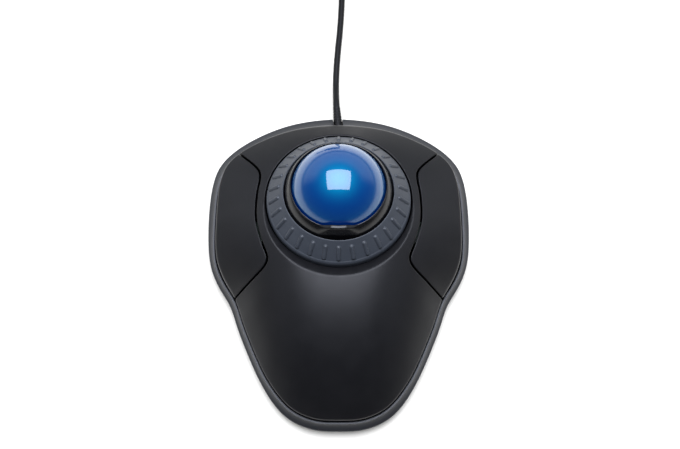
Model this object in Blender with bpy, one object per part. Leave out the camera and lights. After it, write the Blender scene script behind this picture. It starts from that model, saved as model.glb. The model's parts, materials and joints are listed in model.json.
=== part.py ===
"""Wired trackball: a 40 mm ball in a tilted cup, a ribbed scroll ring round it, and two side buttons.

The origin is on the table under the middle of the case. +Y runs to the back, where the cable leaves,
and the palm rest lies towards -Y. The ball, its cup, its bezel and the scroll ring share one leaning axis.
"""

import math

import bmesh
import bpy
from mathutils import Matrix, Vector
from mathutils.geometry import delaunay_2d_cdt, intersect_point_line

MM = 0.001
GAP = 0.3 * MM

# Case outline, right half, from the middle of the back to the middle of the front (millimetres).
OUTLINE_MM = (
    (0, 71.3), (22.2, 68.3), (41.2, 59.8), (53.4, 49.2), (57.6, 37), (58.4, 18), (56.8, 1),
    (52.3, -9.8), (47, -17.9), (42.3, -30.7), (32.5, -51.4), (22.7, -64.2), (11.1, -69.7), (0, -70.4),
)
# Line between the right button and the cover, from back to front. Both ends run past the case.
BUTTON_LINE_MM = (
    (52, 57), (42.5, 46.6), (35.3, 38.8), (33.6, 34), (34.6, 25), (34.4, 14),
    (31.6, 4), (29.2, -2.4), (30.4, -6), (35.8, -10.2), (44.3, -16.1), (54, -22.6),
)
SPLINE_STEPS = 4
# Where a parting line meets the case's edge, points closer than these are left out.
END_CLEARANCE = 0.4 * MM
SHORTEST_STEP = 0.25 * MM
FAR_OUT = 90 * MM

# Base tray.
BASE_UNDERSIDE = 1.6 * MM
FLOOR_TOP = 3.6 * MM
RIM_WIDEST = 5.6 * MM
RIM_LIP = 9.3 * MM
GROOVE_FLOOR = 7.4 * MM
SKIRT = 3.7 * MM
SKIRT_EXTRA_AT_BACK = 1.7 * MM
SKIRT_LESS_AT_PALM = 1.2 * MM
WALL = 2.2 * MM

# Ball axis: the whole ring assembly leans back by LEAN about the ball's centre.
BALL_RADIUS = 20 * MM
BALL_CENTRE = Vector((0, 23.8, 35.5)) * MM
LEAN = math.radians(8.2)

BEARING_RADIUS = 1.25 * MM
BEARING_DISTANCE = BALL_RADIUS + BEARING_RADIUS + 0.15 * MM
BEARING_LATITUDE = math.radians(-42)

# Cover surface round the scroll ring.
HUB = Vector((0, 23.1)) * MM
HOLE_RADIUS = 30.9 * MM
HOLE_HEIGHT = 30.3 * MM
HOLE_DROP = HOLE_RADIUS * math.sin(LEAN)
FRONT_RECESS = 1.2 * MM
CREST_WIDTH = 4.4 * MM
CREST_RISE = 2.6 * MM
RAMP_SHARE = 0.7
SEAM_HEIGHT = 10 * MM

# Shape of the cover behind, beside and in front of the ring: the wall that rises from the seam, how far it
# leans inwards, and the dome's slope at the ring as a share of its mean slope.
WALL_HEIGHTS = (9.7 * MM, 8.6 * MM, 4.0 * MM)
WALL_LEANS = (4.0 * MM, 1.5 * MM, 1.2 * MM)
FIRST_SLOPES = (0.95, 0.8, 0.33)
SHOULDER_BLEND = 3 * MM

# Scroll ring.
RIBS = 30
RIB_HEIGHT = 0.4 * MM
RIB_HALF_ANGLE = math.radians(1.0)
RIB_FOOT_ANGLE = math.radians(1.8)

# Collar round the ball: its lip rises in a lobe at the front.
BEZEL_STEPS = 72
LOBE_FLAT_ANGLE = math.radians(7)
LOBE_HALF_ANGLE = math.radians(22)

# Buttons: each one turns about a line across its front end.
BUTTON_GAP = 0.3 * MM
BUTTON_WALL = 2.0 * MM
BUTTON_UNDERSIDE = 9.0 * MM
BUTTON_AXIS_Y = -12 * MM
BUTTON_AXIS_Z = 12 * MM
SWITCH_X = 39 * MM
SWITCH_Y = 10 * MM
PLUNGER_TOP = 18.4 * MM

# Screws: a pair near the back and a pair under the palm.
SCREW_PLACES_MM = ((30, 51), (17, -49))
POST_RADIUS = 2.9 * MM
SCREW_RADIUS = 1.2 * MM
SCREW_TIP = 12.5 * MM

# Cable.
CABLE_RADIUS = 1.5 * MM
EXIT_HEIGHT = 5.4 * MM
RELIEF_START = Vector((0, 65)) * MM
RELIEF_LENGTH = 13 * MM
RELIEF_TURN = math.radians(4.5)
COIL_CENTRE = Vector((-19.4, 171.0)) * MM
COIL_RADIUS = 18 * MM
COIL_COLUMNS = 3
COIL_LAYERS = 4
TIE_THICKNESS = 0.5 * MM
COIL_BOTTOM = TIE_THICKNESS + GAP + 0.1 * MM
CABLE_RUN_MM = (
    (-1.04, 78.26, 5.3), (-1.2, 82, 4.6), (-1.3, 88, 2.4), (-1.3, 93, 1.65), (-1.0, 101, 1.6),
    (-0.2, 112, 1.6), (0.6, 121, 1.6), (1.2, 130, 1.6), (1.6, 140, 1.7), (1.6, 149, 2.1), (1.6, 158.4, 2.4),
)
CABLE_TAIL_MM = (
    (-31.4, 192.3, 10.6), (-37, 192.6, 9.3), (-43.5, 191.7, 7.3), (-49.5, 188.9, 5.3), (-53.6, 184.5, 4.3),
    (-55.3, 180, 3.9), (-55.5, 177.4, 3.8),
)
PLUG_START = Vector((-55.5, 177.1, 3.8)) * MM


def clear_scene():
    for obj in list(bpy.data.objects):
        bpy.data.objects.remove(obj)


def make_material(name, colour, roughness, metallic=0.0):
    material = bpy.data.materials.new(name)
    material.use_nodes = True
    shader = material.node_tree.nodes["Principled BSDF"]
    shader.inputs["Base Color"].default_value = (*colour, 1.0)
    shader.inputs["Roughness"].default_value = roughness
    shader.inputs["Metallic"].default_value = metallic
    return material


def make_materials():
    return {
        "cover": make_material("soft_touch_black", (0.018, 0.018, 0.021), 0.5),
        "base": make_material("slate_plastic", (0.055, 0.062, 0.074), 0.42),
        "ring": make_material("ring_grey", (0.05, 0.055, 0.062), 0.45),
        "bezel": make_material("bezel_black", (0.008, 0.008, 0.009), 0.22),
        "ball": make_material("pearl_blue", (0.0, 0.07, 0.36), 0.08),
        "inner": make_material("inner_black", (0.012, 0.012, 0.012), 0.6),
        "steel": make_material("steel", (0.62, 0.62, 0.64), 0.25, 1.0),
        "board": make_material("circuit_green", (0.01, 0.09, 0.04), 0.4),
        "chip": make_material("chip_black", (0.015, 0.015, 0.015), 0.45),
        "lens": make_material("clear_lens", (0.7, 0.72, 0.75), 0.05),
        "rubber": make_material("rubber", (0.02, 0.02, 0.02), 0.8),
        "cable": make_material("cable_black", (0.015, 0.015, 0.016), 0.45),
        "label": make_material("label_silver", (0.45, 0.46, 0.48), 0.4),
        "white": make_material("white_nylon", (0.7, 0.7, 0.68), 0.5),
    }


def make_object(name, mesh, material, parent=None):
    mesh.shade_smooth()
    mesh.set_sharp_from_angle(angle=math.radians(35))
    obj = bpy.data.objects.new(name, mesh)
    obj.data.materials.append(material)
    bpy.context.scene.collection.objects.link(obj)
    obj.parent = parent
    return obj


def mesh_from(name, points, faces):
    mesh = bpy.data.meshes.new(name)
    mesh.from_pydata([tuple(point) for point in points], [], faces)
    work = bmesh.new()
    work.from_mesh(mesh)
    bmesh.ops.recalc_face_normals(work, faces=work.faces)
    work.to_mesh(mesh)
    work.free()
    return mesh


def make_cutter(name, mesh):
    obj = bpy.data.objects.new(name, mesh)
    bpy.context.scene.collection.objects.link(obj)
    obj.hide_render = True
    obj.display_type = "WIRE"
    return obj


def add_boolean(obj, other, operation):
    modifier = obj.modifiers.new(other.name, "BOOLEAN")
    modifier.operation = operation
    modifier.object = other
    modifier.solver = "EXACT"


def smooth_path(points, steps):
    """Points along the Catmull-Rom curve through the given points, both ends included."""
    path = []
    last = len(points) - 1
    for index in range(last):
        before = points[max(index - 1, 0)]
        start, end = points[index], points[index + 1]
        after = points[min(index + 2, last)]
        for step in range(steps):
            t = step / steps
            path.append(
                0.5 * (2 * start + (end - before) * t + (2 * before - 5 * start + 4 * end - after) * t**2
                       + (3 * start - before - 3 * end + after) * t**3)
            )
    path.append(points[last])
    return path


def case_outline():
    """The widest edge of the case as a closed loop, clockwise from the back as seen from above."""
    right = [Vector(point) * MM for point in OUTLINE_MM]
    left = [Vector((-point.x, point.y)) for point in right[-2::-1]]
    overlap = [left[-2]] + right + left + [right[1]]
    path = smooth_path(overlap, SPLINE_STEPS)
    return path[SPLINE_STEPS:-SPLINE_STEPS - 1]


def smooth_blend(low, high, value):
    t = min(max((value - low) / (high - low), 0.0), 1.0)
    return t * t * (3 - 2 * t)


def inset(loop, distance):
    """The clockwise loop moved inwards by a distance, or by a distance that depends on the point."""
    moved = []
    for index, point in enumerate(loop):
        along = (loop[(index + 1) % len(loop)] - loop[index - 1]).normalized()
        inwards = Vector((along.y, -along.x))
        amount = distance(point) if callable(distance) else distance
        moved.append(point + inwards * amount)
    return moved


def skirt_width(point):
    """The skirt is widest across the back, and narrower beside the palm rest than at its front end."""
    at_back = smooth_blend(32 * MM, 62 * MM, point.y)
    at_palm = smooth_blend(26 * MM, -8 * MM, point.y) * (1 - smooth_blend(-62 * MM, -70 * MM, point.y))
    return SKIRT + SKIRT_EXTRA_AT_BACK * at_back - SKIRT_LESS_AT_PALM * at_palm


OUTLINE = case_outline()
SEAM = inset(OUTLINE, skirt_width)


def seam_distance(angle):
    """How far the seam is from the hub in a direction."""
    direction = Vector((math.cos(angle), math.sin(angle)))
    across = Vector((-direction.y, direction.x))
    for index, end in enumerate(SEAM):
        start = SEAM[index - 1] - HUB
        finish = end - HUB
        side, other = start.dot(across), finish.dot(across)
        if side * other > 0 or side == other:
            continue
        crossing = start.lerp(finish, side / (side - other))
        if crossing.dot(direction) > 0:
            return crossing.length
    return HOLE_RADIUS


def by_direction(values, backwards):
    """Blends a value for behind, beside and in front of the ring. backwards is 1 straight behind it."""
    back, side, front = values
    return side + (back - side) * max(0.0, backwards)**2 + (front - side) * max(0.0, -backwards)**2


def ramp(share):
    """The recess's rise across its width, 0 to 1: a straight slope that rounds off below the crest."""
    over = max(0.0, share - RAMP_SHARE)
    return (share - over**2 / (2 * (1 - RAMP_SHARE))) * 2 / (1 + RAMP_SHARE)


def cover_height(point):
    """Height of the cover's outer surface: a dome that falls from the crest round the hole to the seam."""
    offset = point - HUB
    radius = max(offset.length, HOLE_RADIUS)
    angle = math.atan2(offset.y, offset.x)
    backwards = math.sin(angle)
    frontness = max(0.0, -backwards)
    hole_height = HOLE_HEIGHT - HOLE_DROP * backwards - FRONT_RECESS * frontness
    crest_height = hole_height + CREST_RISE * frontness
    crest_width = 0.25 * MM + CREST_WIDTH * frontness
    crest_radius = HOLE_RADIUS + crest_width
    if radius < crest_radius:
        return hole_height + (crest_height - hole_height) * ramp((radius - HOLE_RADIUS) / crest_width)
    seam_radius = seam_distance(angle)
    wall_height, wall_lean = by_direction(WALL_HEIGHTS, backwards), by_direction(WALL_LEANS, backwards)
    run, out = seam_radius - wall_lean - crest_radius, radius - crest_radius
    drop = crest_height - SEAM_HEIGHT - wall_height
    first_drop = drop * by_direction(FIRST_SLOPES, backwards)
    dome = crest_height - first_drop * out / run - (drop - first_drop) * (out / run)**2
    wall = SEAM_HEIGHT + (seam_radius - radius) * wall_height / wall_lean
    nearness = max(0.0, 1 - abs(dome - wall) / SHOULDER_BLEND)
    return min(dome, wall) - nearness**2 * SHOULDER_BLEND / 4


def shoulder_point(point):
    """The point just inside the shoulder, from a point on the seam."""
    offset = point - HUB
    lean = by_direction(WALL_LEANS, offset.normalized().y)
    return point - offset.normalized() * (lean + 0.3 * MM)


def cover_steepness(point):
    """Length of the surface's upward normal before it is scaled to one: 1 where level, more where steep."""
    step = 0.2 * MM
    here = cover_height(point)
    slope_x = (cover_height(point + Vector((step, 0))) - here) / step
    slope_y = (cover_height(point + Vector((0, step))) - here) / step
    return math.sqrt(1 + slope_x**2 + slope_y**2)


def is_inside(point, loop):
    inside = False
    for index, end in enumerate(loop):
        start = loop[index - 1]
        if (start.y > point.y) != (end.y > point.y):
            crossing = start.x + (point.y - start.y) * (end.x - start.x) / (end.y - start.y)
            if point.x < crossing:
                inside = not inside
    return inside


def edge_distance(point, loop):
    nearest = math.inf
    for index, end in enumerate(loop):
        start = loop[index - 1]
        place, fraction = intersect_point_line(point, start, end)
        place = place.to_2d() if 0 <= fraction <= 1 else (start if fraction < 0 else end)
        nearest = min(nearest, (point - place).length)
    return nearest


def middle_of(points):
    return sum(points, Vector((0, 0))) / len(points)


def domed_plate(name, outer, hole, spacing, wall, underside):
    """A closed shell under the cover's surface, with the outer loop and a hole seen from above."""
    sides = [(index, (index + 1) % len(outer)) for index in range(len(outer))]
    start = len(outer)
    sides += [(start + index, start + (index + 1) % len(hole)) for index in range(len(hole))]
    shoulder = [shoulder_point(point) for point in outer if edge_distance(point, SEAM) < 1 * MM]
    shoulder = [p for p in shoulder if is_inside(p, outer) and edge_distance(p, outer) > 1 * MM]
    points = [point.copy() for point in outer + hole] + shoulder
    count_x = math.ceil(58 * MM / spacing)
    count_y = math.ceil(70 * MM / spacing)
    for column in range(-count_x, count_x + 1):
        for row in range(-count_y, count_y + 1):
            point = Vector((column, row)) * spacing
            if not is_inside(point, outer) or edge_distance(point, outer) < 0.55 * spacing:
                continue
            if hole and (is_inside(point, hole) or edge_distance(point, hole) < 0.55 * spacing):
                continue
            if min((point - other).length for other in shoulder) > 2 * MM:
                points.append(point)
    flat, _, triangles, _, _, _ = delaunay_2d_cdt(points, sides, [], 1, 1e-7)
    if hole:
        triangles = [face for face in triangles if not is_inside(middle_of([flat[i] for i in face]), hole)]
    top = [Vector((*point, cover_height(point))) for point in flat]
    low = []
    for point, above in zip(flat, top):
        drop = min(wall * cover_steepness(point), 3 * wall)
        low.append(Vector((*point, max(above.z - drop, underside))))
    return closed_between(name, top, low, triangles)


def closed_between(name, top, low, triangles):
    """The solid between two layers of points that share one triangulation."""
    count = len(top)
    faces = [tuple(face) for face in triangles]
    faces += [tuple(count + index for index in reversed(face)) for face in triangles]
    edges = {(face[i - 1], face[i]) for face in triangles for i in range(len(face))}
    faces += [(b, a, count + a, count + b) for a, b in edges if (b, a) not in edges]
    return mesh_from(name, top + low, faces)


def prism(name, loop, low, high):
    """A straight-sided solid over a closed loop."""
    count = len(loop)
    points = [Vector((*point, low)) for point in loop] + [Vector((*point, high)) for point in loop]
    faces = [tuple(range(count)), tuple(range(count, 2 * count))]
    faces += [(i, (i + 1) % count, count + (i + 1) % count, count + i) for i in range(count)]
    return mesh_from(name, points, faces)


def block(name, low, high):
    corners = ((low[0], low[1]), (low[0], high[1]), (high[0], high[1]), (high[0], low[1]))
    return prism(name, [Vector(corner) for corner in corners], low[2], high[2])


def stack(name, loops):
    """A solid skinned through loops of equal length, closed by a face at each end."""
    count = len(loops[0])
    points = [point for loop in loops for point in loop]
    faces = [tuple(range(count)), tuple(range(len(points) - count, len(points)))]
    for layer in range(len(loops) - 1):
        start = layer * count
        for i in range(count):
            j = (i + 1) % count
            faces.append((start + i, start + j, start + count + j, start + count + i))
    return mesh_from(name, points, faces)


def turned(name, profile, steps):
    """A closed profile of (radius, height) points turned round Z. A point on the axis becomes one vertex."""
    points, rows = [], []
    for radius, height in profile:
        if radius == 0:
            rows.append([len(points)] * steps)
            points.append(Vector((0, 0, height)))
            continue
        rows.append(list(range(len(points), len(points) + steps)))
        for step in range(steps):
            angle = 2 * math.pi * step / steps
            points.append(Vector((radius * math.cos(angle), radius * math.sin(angle), height)))
    faces = []
    for index, row in enumerate(rows):
        above = rows[index - 1]
        if profile[index][0] == 0 and profile[index - 1][0] == 0:
            continue
        for i in range(steps):
            j = (i + 1) % steps
            face = (above[i], above[j], row[j], row[i])
            faces.append(tuple(dict.fromkeys(face)))
    return mesh_from(name, points, faces)


def cylinder(name, radius, low, high, steps=16):
    return turned(name, ((0, low), (radius, low), (radius, high), (0, high)), steps)


def place(mesh, location, tilt=0.0):
    mesh.transform(Matrix.Translation(location) @ Matrix.Rotation(tilt, 4, "X"))
    return mesh


def make_axis_empty():
    """The leaning axis through the ball's centre, which the ring, the bezel and the cup share."""
    empty = bpy.data.objects.new("ball_axis", None)
    empty.location = BALL_CENTRE
    empty.rotation_euler = (-LEAN, 0, 0)
    bpy.context.scene.collection.objects.link(empty)
    return empty


def make_base(materials):
    """The slate tray: a floor, a flared skirt, a raised lip and a groove that the cover stands in."""
    def deeper(extra):
        return lambda point: skirt_width(point) + extra

    levels = (
        (6.0 * MM, BASE_UNDERSIDE), (2.6 * MM, BASE_UNDERSIDE + 0.3 * MM), (0.4 * MM, 3.9 * MM),
        (0.0, RIM_WIDEST), (0.5 * MM, 6.6 * MM), (deeper(-0.9 * MM), RIM_LIP - 0.2 * MM),
        (deeper(-0.2 * MM), RIM_LIP), (deeper(0), RIM_LIP - 0.4 * MM), (deeper(0), GROOVE_FLOOR),
        (deeper(WALL), GROOVE_FLOOR), (deeper(WALL), FLOOR_TOP),
    )
    loops = [[Vector((*point, height)) for point in inset(OUTLINE, amount)] for amount, height in levels]
    base = make_object("base_tray", stack("base_tray", loops), materials["base"])
    radius = CABLE_RADIUS + 0.5 * MM + GAP
    notch = [Vector((radius * math.cos(a), EXIT_HEIGHT + radius * math.sin(a)))
             for a in (math.radians(180 + 22.5 * step) for step in range(9))]
    notch += [Vector((radius, 12 * MM)), Vector((-radius, 12 * MM))]
    cutter = prism("cable_notch", notch, -11 * MM, 9 * MM)
    cutter.transform(relief_place(0) @ Matrix.Rotation(math.radians(90), 4, "X"))
    add_boolean(base, make_cutter("cable_notch", cutter), "DIFFERENCE")
    for index, place_at in enumerate(screw_places()):
        profile = (
            (0, 0), (3.2 * MM, 0), (3.2 * MM, 2.7 * MM), (SCREW_RADIUS + GAP, 2.7 * MM),
            (SCREW_RADIUS + GAP, 6 * MM), (0, 6 * MM),
        )
        hole = place(turned(f"screw_hole_{index + 1}", profile, 16), Vector((*place_at, 0)))
        add_boolean(base, make_cutter(f"screw_hole_{index + 1}", hole), "DIFFERENCE")


def relief_place(height):
    """Puts what is made round the origin at the relief's inner end, turned the way the cable leaves."""
    return Matrix.Translation((*RELIEF_START, height)) @ Matrix.Rotation(RELIEF_TURN, 4, "Z")


def screw_places():
    places = []
    for x, y in SCREW_PLACES_MM:
        places += [Vector((x, y)) * MM, Vector((-x, y)) * MM]
    return places


def button_line(side, shift):
    """The right (side 1) or left (side -1) parting line, moved by shift towards the outside."""
    path = smooth_path([Vector(point) * MM for point in BUTTON_LINE_MM], SPLINE_STEPS)
    moved = []
    for index, point in enumerate(path):
        along = path[min(index + 1, len(path) - 1)] - path[max(index - 1, 0)]
        along.normalize()
        point = point + Vector((-along.y, along.x)) * shift
        moved.append(Vector((point.x * side, point.y)))
    return moved


def part_loop(side, edge, shift):
    """The part of the edge loop outside the parting line, closed by that line. Clockwise for side 1."""
    line = button_line(1, shift)
    outside = [is_inside(point, button_zone(line, 1)) for point in edge]
    first = next(i for i in range(len(edge)) if outside[i] and not outside[i - 1])
    arc = []
    index = first
    while outside[index % len(edge)]:
        arc.append(edge[index % len(edge)])
        index += 1
    ends = [crossing(edge[first - 1], arc[0], line), crossing(arc[-1], edge[index % len(edge)], line)]
    inside = [p for p in line if is_inside(p, edge) and edge_distance(p, edge) > END_CLEARANCE]
    loop = without_short_steps([ends[0]] + arc + [ends[1]] + inside[::-1])
    return [Vector((point.x * side, point.y)) for point in loop]


def crossing(start, end, line):
    """Where the stretch from start to end meets the line."""
    step = end - start
    for a, b in zip(line, line[1:]):
        leg = b - a
        turn = step.x * leg.y - step.y * leg.x
        if turn == 0:
            continue
        offset = a - start
        t = (offset.x * leg.y - offset.y * leg.x) / turn
        u = (offset.x * step.y - offset.y * step.x) / turn
        if -1e-6 <= t <= 1 + 1e-6 and 0 <= u <= 1:
            return start + step * t
    return end


def cover_edge():
    return inset(SEAM, GAP)


def make_cover(materials):
    """The black cover: one shell with the ring's hole and a recess on each side for a button."""
    outer = edge_without_buttons(cover_edge())
    hole = ring_hole(72)
    shell = domed_plate("top_cover", outer, hole, 6 * MM, WALL, GROOVE_FLOOR + GAP)
    cover = make_object("top_cover", shell, materials["cover"])
    for index, place_at in enumerate(screw_places()):
        spot = Vector((*place_at, 0))
        around = [place_at + Vector((math.cos(a), math.sin(a))) * POST_RADIUS for a in range(6)]
        top = min(cover_height(point) for point in around) - 1.2 * MM
        post = place(cylinder(f"post_{index + 1}", POST_RADIUS, 6.4 * MM, top), spot)
        add_boolean(cover, make_cutter(f"post_{index + 1}", post), "UNION")
        pilot = place(cylinder(f"pilot_{index + 1}", SCREW_RADIUS + GAP, 0, SCREW_TIP + GAP), spot)
        add_boolean(cover, make_cutter(f"pilot_{index + 1}", pilot), "DIFFERENCE")


def edge_without_buttons(edge):
    """The cover's outer loop: the seam at the back and front, and the two parting lines between them."""
    outer = []
    lines = {side: button_line(side, -BUTTON_GAP) for side in (1, -1)}
    zones = {side: button_zone(lines[side], side) for side in (1, -1)}
    for index, point in enumerate(edge):
        side = 1 if point.x > 0 else -1
        before = edge[index - 1]
        here, there = is_inside(point, zones[side]), is_inside(before, zones[side])
        if here and not there:
            way = lines[side] if side == 1 else lines[side][::-1]
            outer.append(crossing(before, point, lines[side]))
            outer += [p for p in way if is_inside(p, edge) and edge_distance(p, edge) > END_CLEARANCE]
        elif there and not here:
            outer.append(crossing(before, point, lines[side]))
        if not here:
            outer.append(point)
    return without_short_steps(outer)


def button_zone(line, side):
    """The region outside a parting line, closed far beyond the case."""
    return line + [Vector((FAR_OUT * side, line[-1].y)), Vector((FAR_OUT * side, line[0].y))]


def without_short_steps(loop):
    return [point for i, point in enumerate(loop) if (point - loop[i - 1]).length > SHORTEST_STEP]


def ring_hole(steps):
    """The hole for the scroll ring seen from above: a circle that the lean narrows from front to back."""
    angles = [-2 * math.pi * step / steps for step in range(steps)]
    return [HUB + Vector((math.cos(a), math.cos(LEAN) * math.sin(a))) * HOLE_RADIUS for a in angles]


def make_buttons(materials):
    """Left and right buttons: curved plates with a rib that stands over the switch."""
    for name, side in (("button_left", -1), ("button_right", 1)):
        loop = part_loop(side, cover_edge(), BUTTON_GAP)
        plate = domed_plate(name, loop, [], 5 * MM, BUTTON_WALL, BUTTON_UNDERSIDE)
        pivot = Vector((0, BUTTON_AXIS_Y, BUTTON_AXIS_Z))
        plate.transform(Matrix.Translation(-pivot))
        button = make_object(name, plate, materials["cover"])
        button.location = pivot
        centre = Vector((SWITCH_X * side, SWITCH_Y))
        top = min(cover_height(centre + Vector((dx, 0))) for dx in (-2 * MM, 2 * MM)) - 1.0 * MM
        low = (centre.x - 1.5 * MM, centre.y - 3 * MM, PLUNGER_TOP + GAP)
        high = (centre.x + 1.5 * MM, centre.y + 3 * MM, top)
        rib = make_cutter(f"{name}_rib", block(f"{name}_rib", low, high))
        add_boolean(button, rib, "UNION")


def ring_profile():
    """The scroll ring's section as (radius, height, lift). A rib raises the points whose lift is 1."""
    return (
        (22.95, -3.0, 0), (22.95, 1.2, 0), (23.5, 1.75, 0), (24.3, 1.3, 0), (24.9, 0.7, 1), (29.1, -3.7, 1),
        (29.6, -4.3, 0), (30.3, -5.1, 0), (30.35, -7.4, 0), (28.8, -7.4, 0), (25.0, -2.7, 0),
    )


def make_scroll_ring(materials, axis):
    """The conical ring, built rib by rib: four stations for each rib, the middle two lifted."""
    pitch = 2 * math.pi / RIBS
    stations = []
    for rib in range(RIBS):
        middle = -math.pi / 2 + rib * pitch
        stations += [(middle - RIB_FOOT_ANGLE, 0), (middle - RIB_HALF_ANGLE, 1)]
        stations += [(middle + RIB_HALF_ANGLE, 1), (middle + RIB_FOOT_ANGLE, 0)]
    profile = ring_profile()
    lift = RIB_HEIGHT / math.sqrt(2)
    points = []
    for angle, raised in stations:
        for radius, height, on_rib in profile:
            extra = lift * raised * on_rib
            r = radius * MM + extra
            points.append(Vector((r * math.cos(angle), r * math.sin(angle), height * MM + extra)))
    size, count = len(profile), len(stations)
    faces = []
    for i in range(count):
        j = (i + 1) % count
        for k in range(size):
            n = (k + 1) % size
            faces.append((i * size + k, j * size + k, j * size + n, i * size + n))
    make_object("scroll_ring", mesh_from("scroll_ring", points, faces), materials["ring"], axis)


def make_encoder_ring(materials, axis):
    """A toothed disc under the scroll ring, read by the encoder. Teeth and gaps take equal angles."""
    teeth = 36
    inner, root, tip = 25.6 * MM, 27.4 * MM, 28.5 * MM
    low, high = -8.9 * MM, -7.7 * MM
    points, faces = [], []
    for step in range(2 * teeth):
        outer = tip if step % 2 else root
        for angle in (step, step + 1):
            turn = math.pi * angle / teeth
            for radius, height in ((inner, low), (outer, low), (outer, high), (inner, high)):
                points.append(Vector((radius * math.cos(turn), radius * math.sin(turn), height)))
    for ring in range(4 * teeth):
        after = (ring + 1) % (4 * teeth)
        for k in range(4):
            n = (k + 1) % 4
            faces.append((ring * 4 + k, after * 4 + k, after * 4 + n, ring * 4 + n))
    mesh = mesh_from("encoder_ring", points, faces)
    work = bmesh.new()
    work.from_mesh(mesh)
    bmesh.ops.remove_doubles(work, verts=work.verts, dist=1e-6)
    bmesh.ops.recalc_face_normals(work, faces=work.faces)
    work.to_mesh(mesh)
    work.free()
    make_object("encoder_ring", mesh, materials["inner"], axis)


def make_bezel(materials, axis):
    """The fixed collar between the ball and the scroll ring. Its lip rises in a lobe at the front."""
    plain = (
        (19.42, 6.3), (19.6, 6.85), (20.1, 6.95), (20.8, 5.9), (21.8, 3.4), (22.3, 1.2), (22.35, -3.0),
        (20.5, -3.0), (20.42, 0.0), (20.16, 3.2),
    )
    raised = (
        (18.95, 7.7), (19.1, 8.35), (19.6, 8.5), (20.7, 7.3), (21.9, 4.4), (22.35, 1.6), (22.35, -3.0),
        (20.5, -3.0), (20.42, 0.0), (20.16, 3.2),
    )
    points, size = [], len(plain)
    for step in range(BEZEL_STEPS):
        angle = 2 * math.pi * step / BEZEL_STEPS
        from_front = abs(angle - 1.5 * math.pi)
        share = 1 - smooth_blend(LOBE_FLAT_ANGLE, LOBE_HALF_ANGLE, from_front)
        for low, high in zip(plain, raised):
            radius, height = Vector(low).lerp(Vector(high), share) * MM
            points.append(Vector((radius * math.cos(angle), radius * math.sin(angle), height)))
    faces = []
    for i in range(BEZEL_STEPS):
        j = (i + 1) % BEZEL_STEPS
        for k in range(size):
            n = (k + 1) % size
            faces.append((i * size + k, j * size + k, j * size + n, i * size + n))
    make_object("ball_bezel", mesh_from("ball_bezel", points, faces), materials["bezel"], axis)


def bearing_directions():
    """Unit vectors from the ball's centre to the three bearings: one at the front, two at the back."""
    outwards, down = math.cos(BEARING_LATITUDE), math.sin(BEARING_LATITUDE)
    angles = [math.radians(-90 + 120 * index) for index in range(3)]
    return [Vector((outwards * math.cos(a), outwards * math.sin(a), down)) for a in angles]


def make_cup(materials, axis):
    """The bowl under the ball, open at the bottom for the sensor, with a pocket for each bearing."""
    inner, outer = 20.5 * MM, 22.6 * MM
    start, end = math.radians(-9.5), math.radians(-68)
    angles = [start + (end - start) * step / 7 for step in range(8)]
    profile = [(inner * math.cos(a), inner * math.sin(a)) for a in angles]
    profile += [(outer * math.cos(a), outer * math.sin(a)) for a in reversed(angles)]
    cup = make_object("ball_cup", turned("ball_cup", profile, 36), materials["inner"], axis)
    for index, direction in enumerate(bearing_directions()):
        pocket = cylinder(f"pocket_{index + 1}", BEARING_RADIUS + GAP, 18 * MM, 25 * MM, 12)
        pocket.transform(Vector((0, 0, 1)).rotation_difference(direction).to_matrix().to_4x4())
        cutter = make_cutter(f"pocket_{index + 1}", pocket)
        cutter.parent = axis
        add_boolean(cup, cutter, "DIFFERENCE")


def ball_mesh(name, radius, segments, rings):
    mesh = bpy.data.meshes.new(name)
    work = bmesh.new()
    bmesh.ops.create_uvsphere(work, u_segments=segments, v_segments=rings, radius=radius)
    work.to_mesh(mesh)
    work.free()
    return mesh


def make_balls(materials, axis):
    make_object("trackball", ball_mesh("trackball", BALL_RADIUS, 36, 18), materials["ball"], axis)
    for index, direction in enumerate(bearing_directions()):
        mesh = ball_mesh(f"bearing_{index + 1}", BEARING_RADIUS, 12, 8)
        bearing = make_object(f"bearing_{index + 1}", mesh, materials["steel"], axis)
        bearing.location = direction * BEARING_DISTANCE


def make_ring_carrier(materials, axis):
    """The fixed seat that the scroll ring turns on: a sleeve round the cup, with a flange below."""
    profile_mm = ((22.9, -3.5), (24.6, -3.5), (24.6, -9.3), (26.5, -9.3), (26.5, -11.0), (22.9, -11.0))
    profile = [(radius * MM, height * MM) for radius, height in profile_mm]
    make_object("ring_carrier", turned("ring_carrier", profile, 48), materials["inner"], axis)
    flange = BALL_CENTRE + Matrix.Rotation(-LEAN, 3, "X") @ Vector((0, 0, -11.0 * MM))
    post_radius, post_circle = 2.2 * MM, 24.6 * MM
    for index in range(3):
        angle = math.radians(90 + 120 * index)
        x, y = flange.x + post_circle * math.cos(angle), flange.y + post_circle * math.sin(angle)
        under = flange.z - math.tan(LEAN) * (y + post_radius - flange.y) - GAP
        name = f"carrier_post_{index + 1}"
        post = cylinder(name, post_radius, FLOOR_TOP + GAP, under, 12)
        make_object(name, place(post, Vector((x, y, 0))), materials["inner"])


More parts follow.
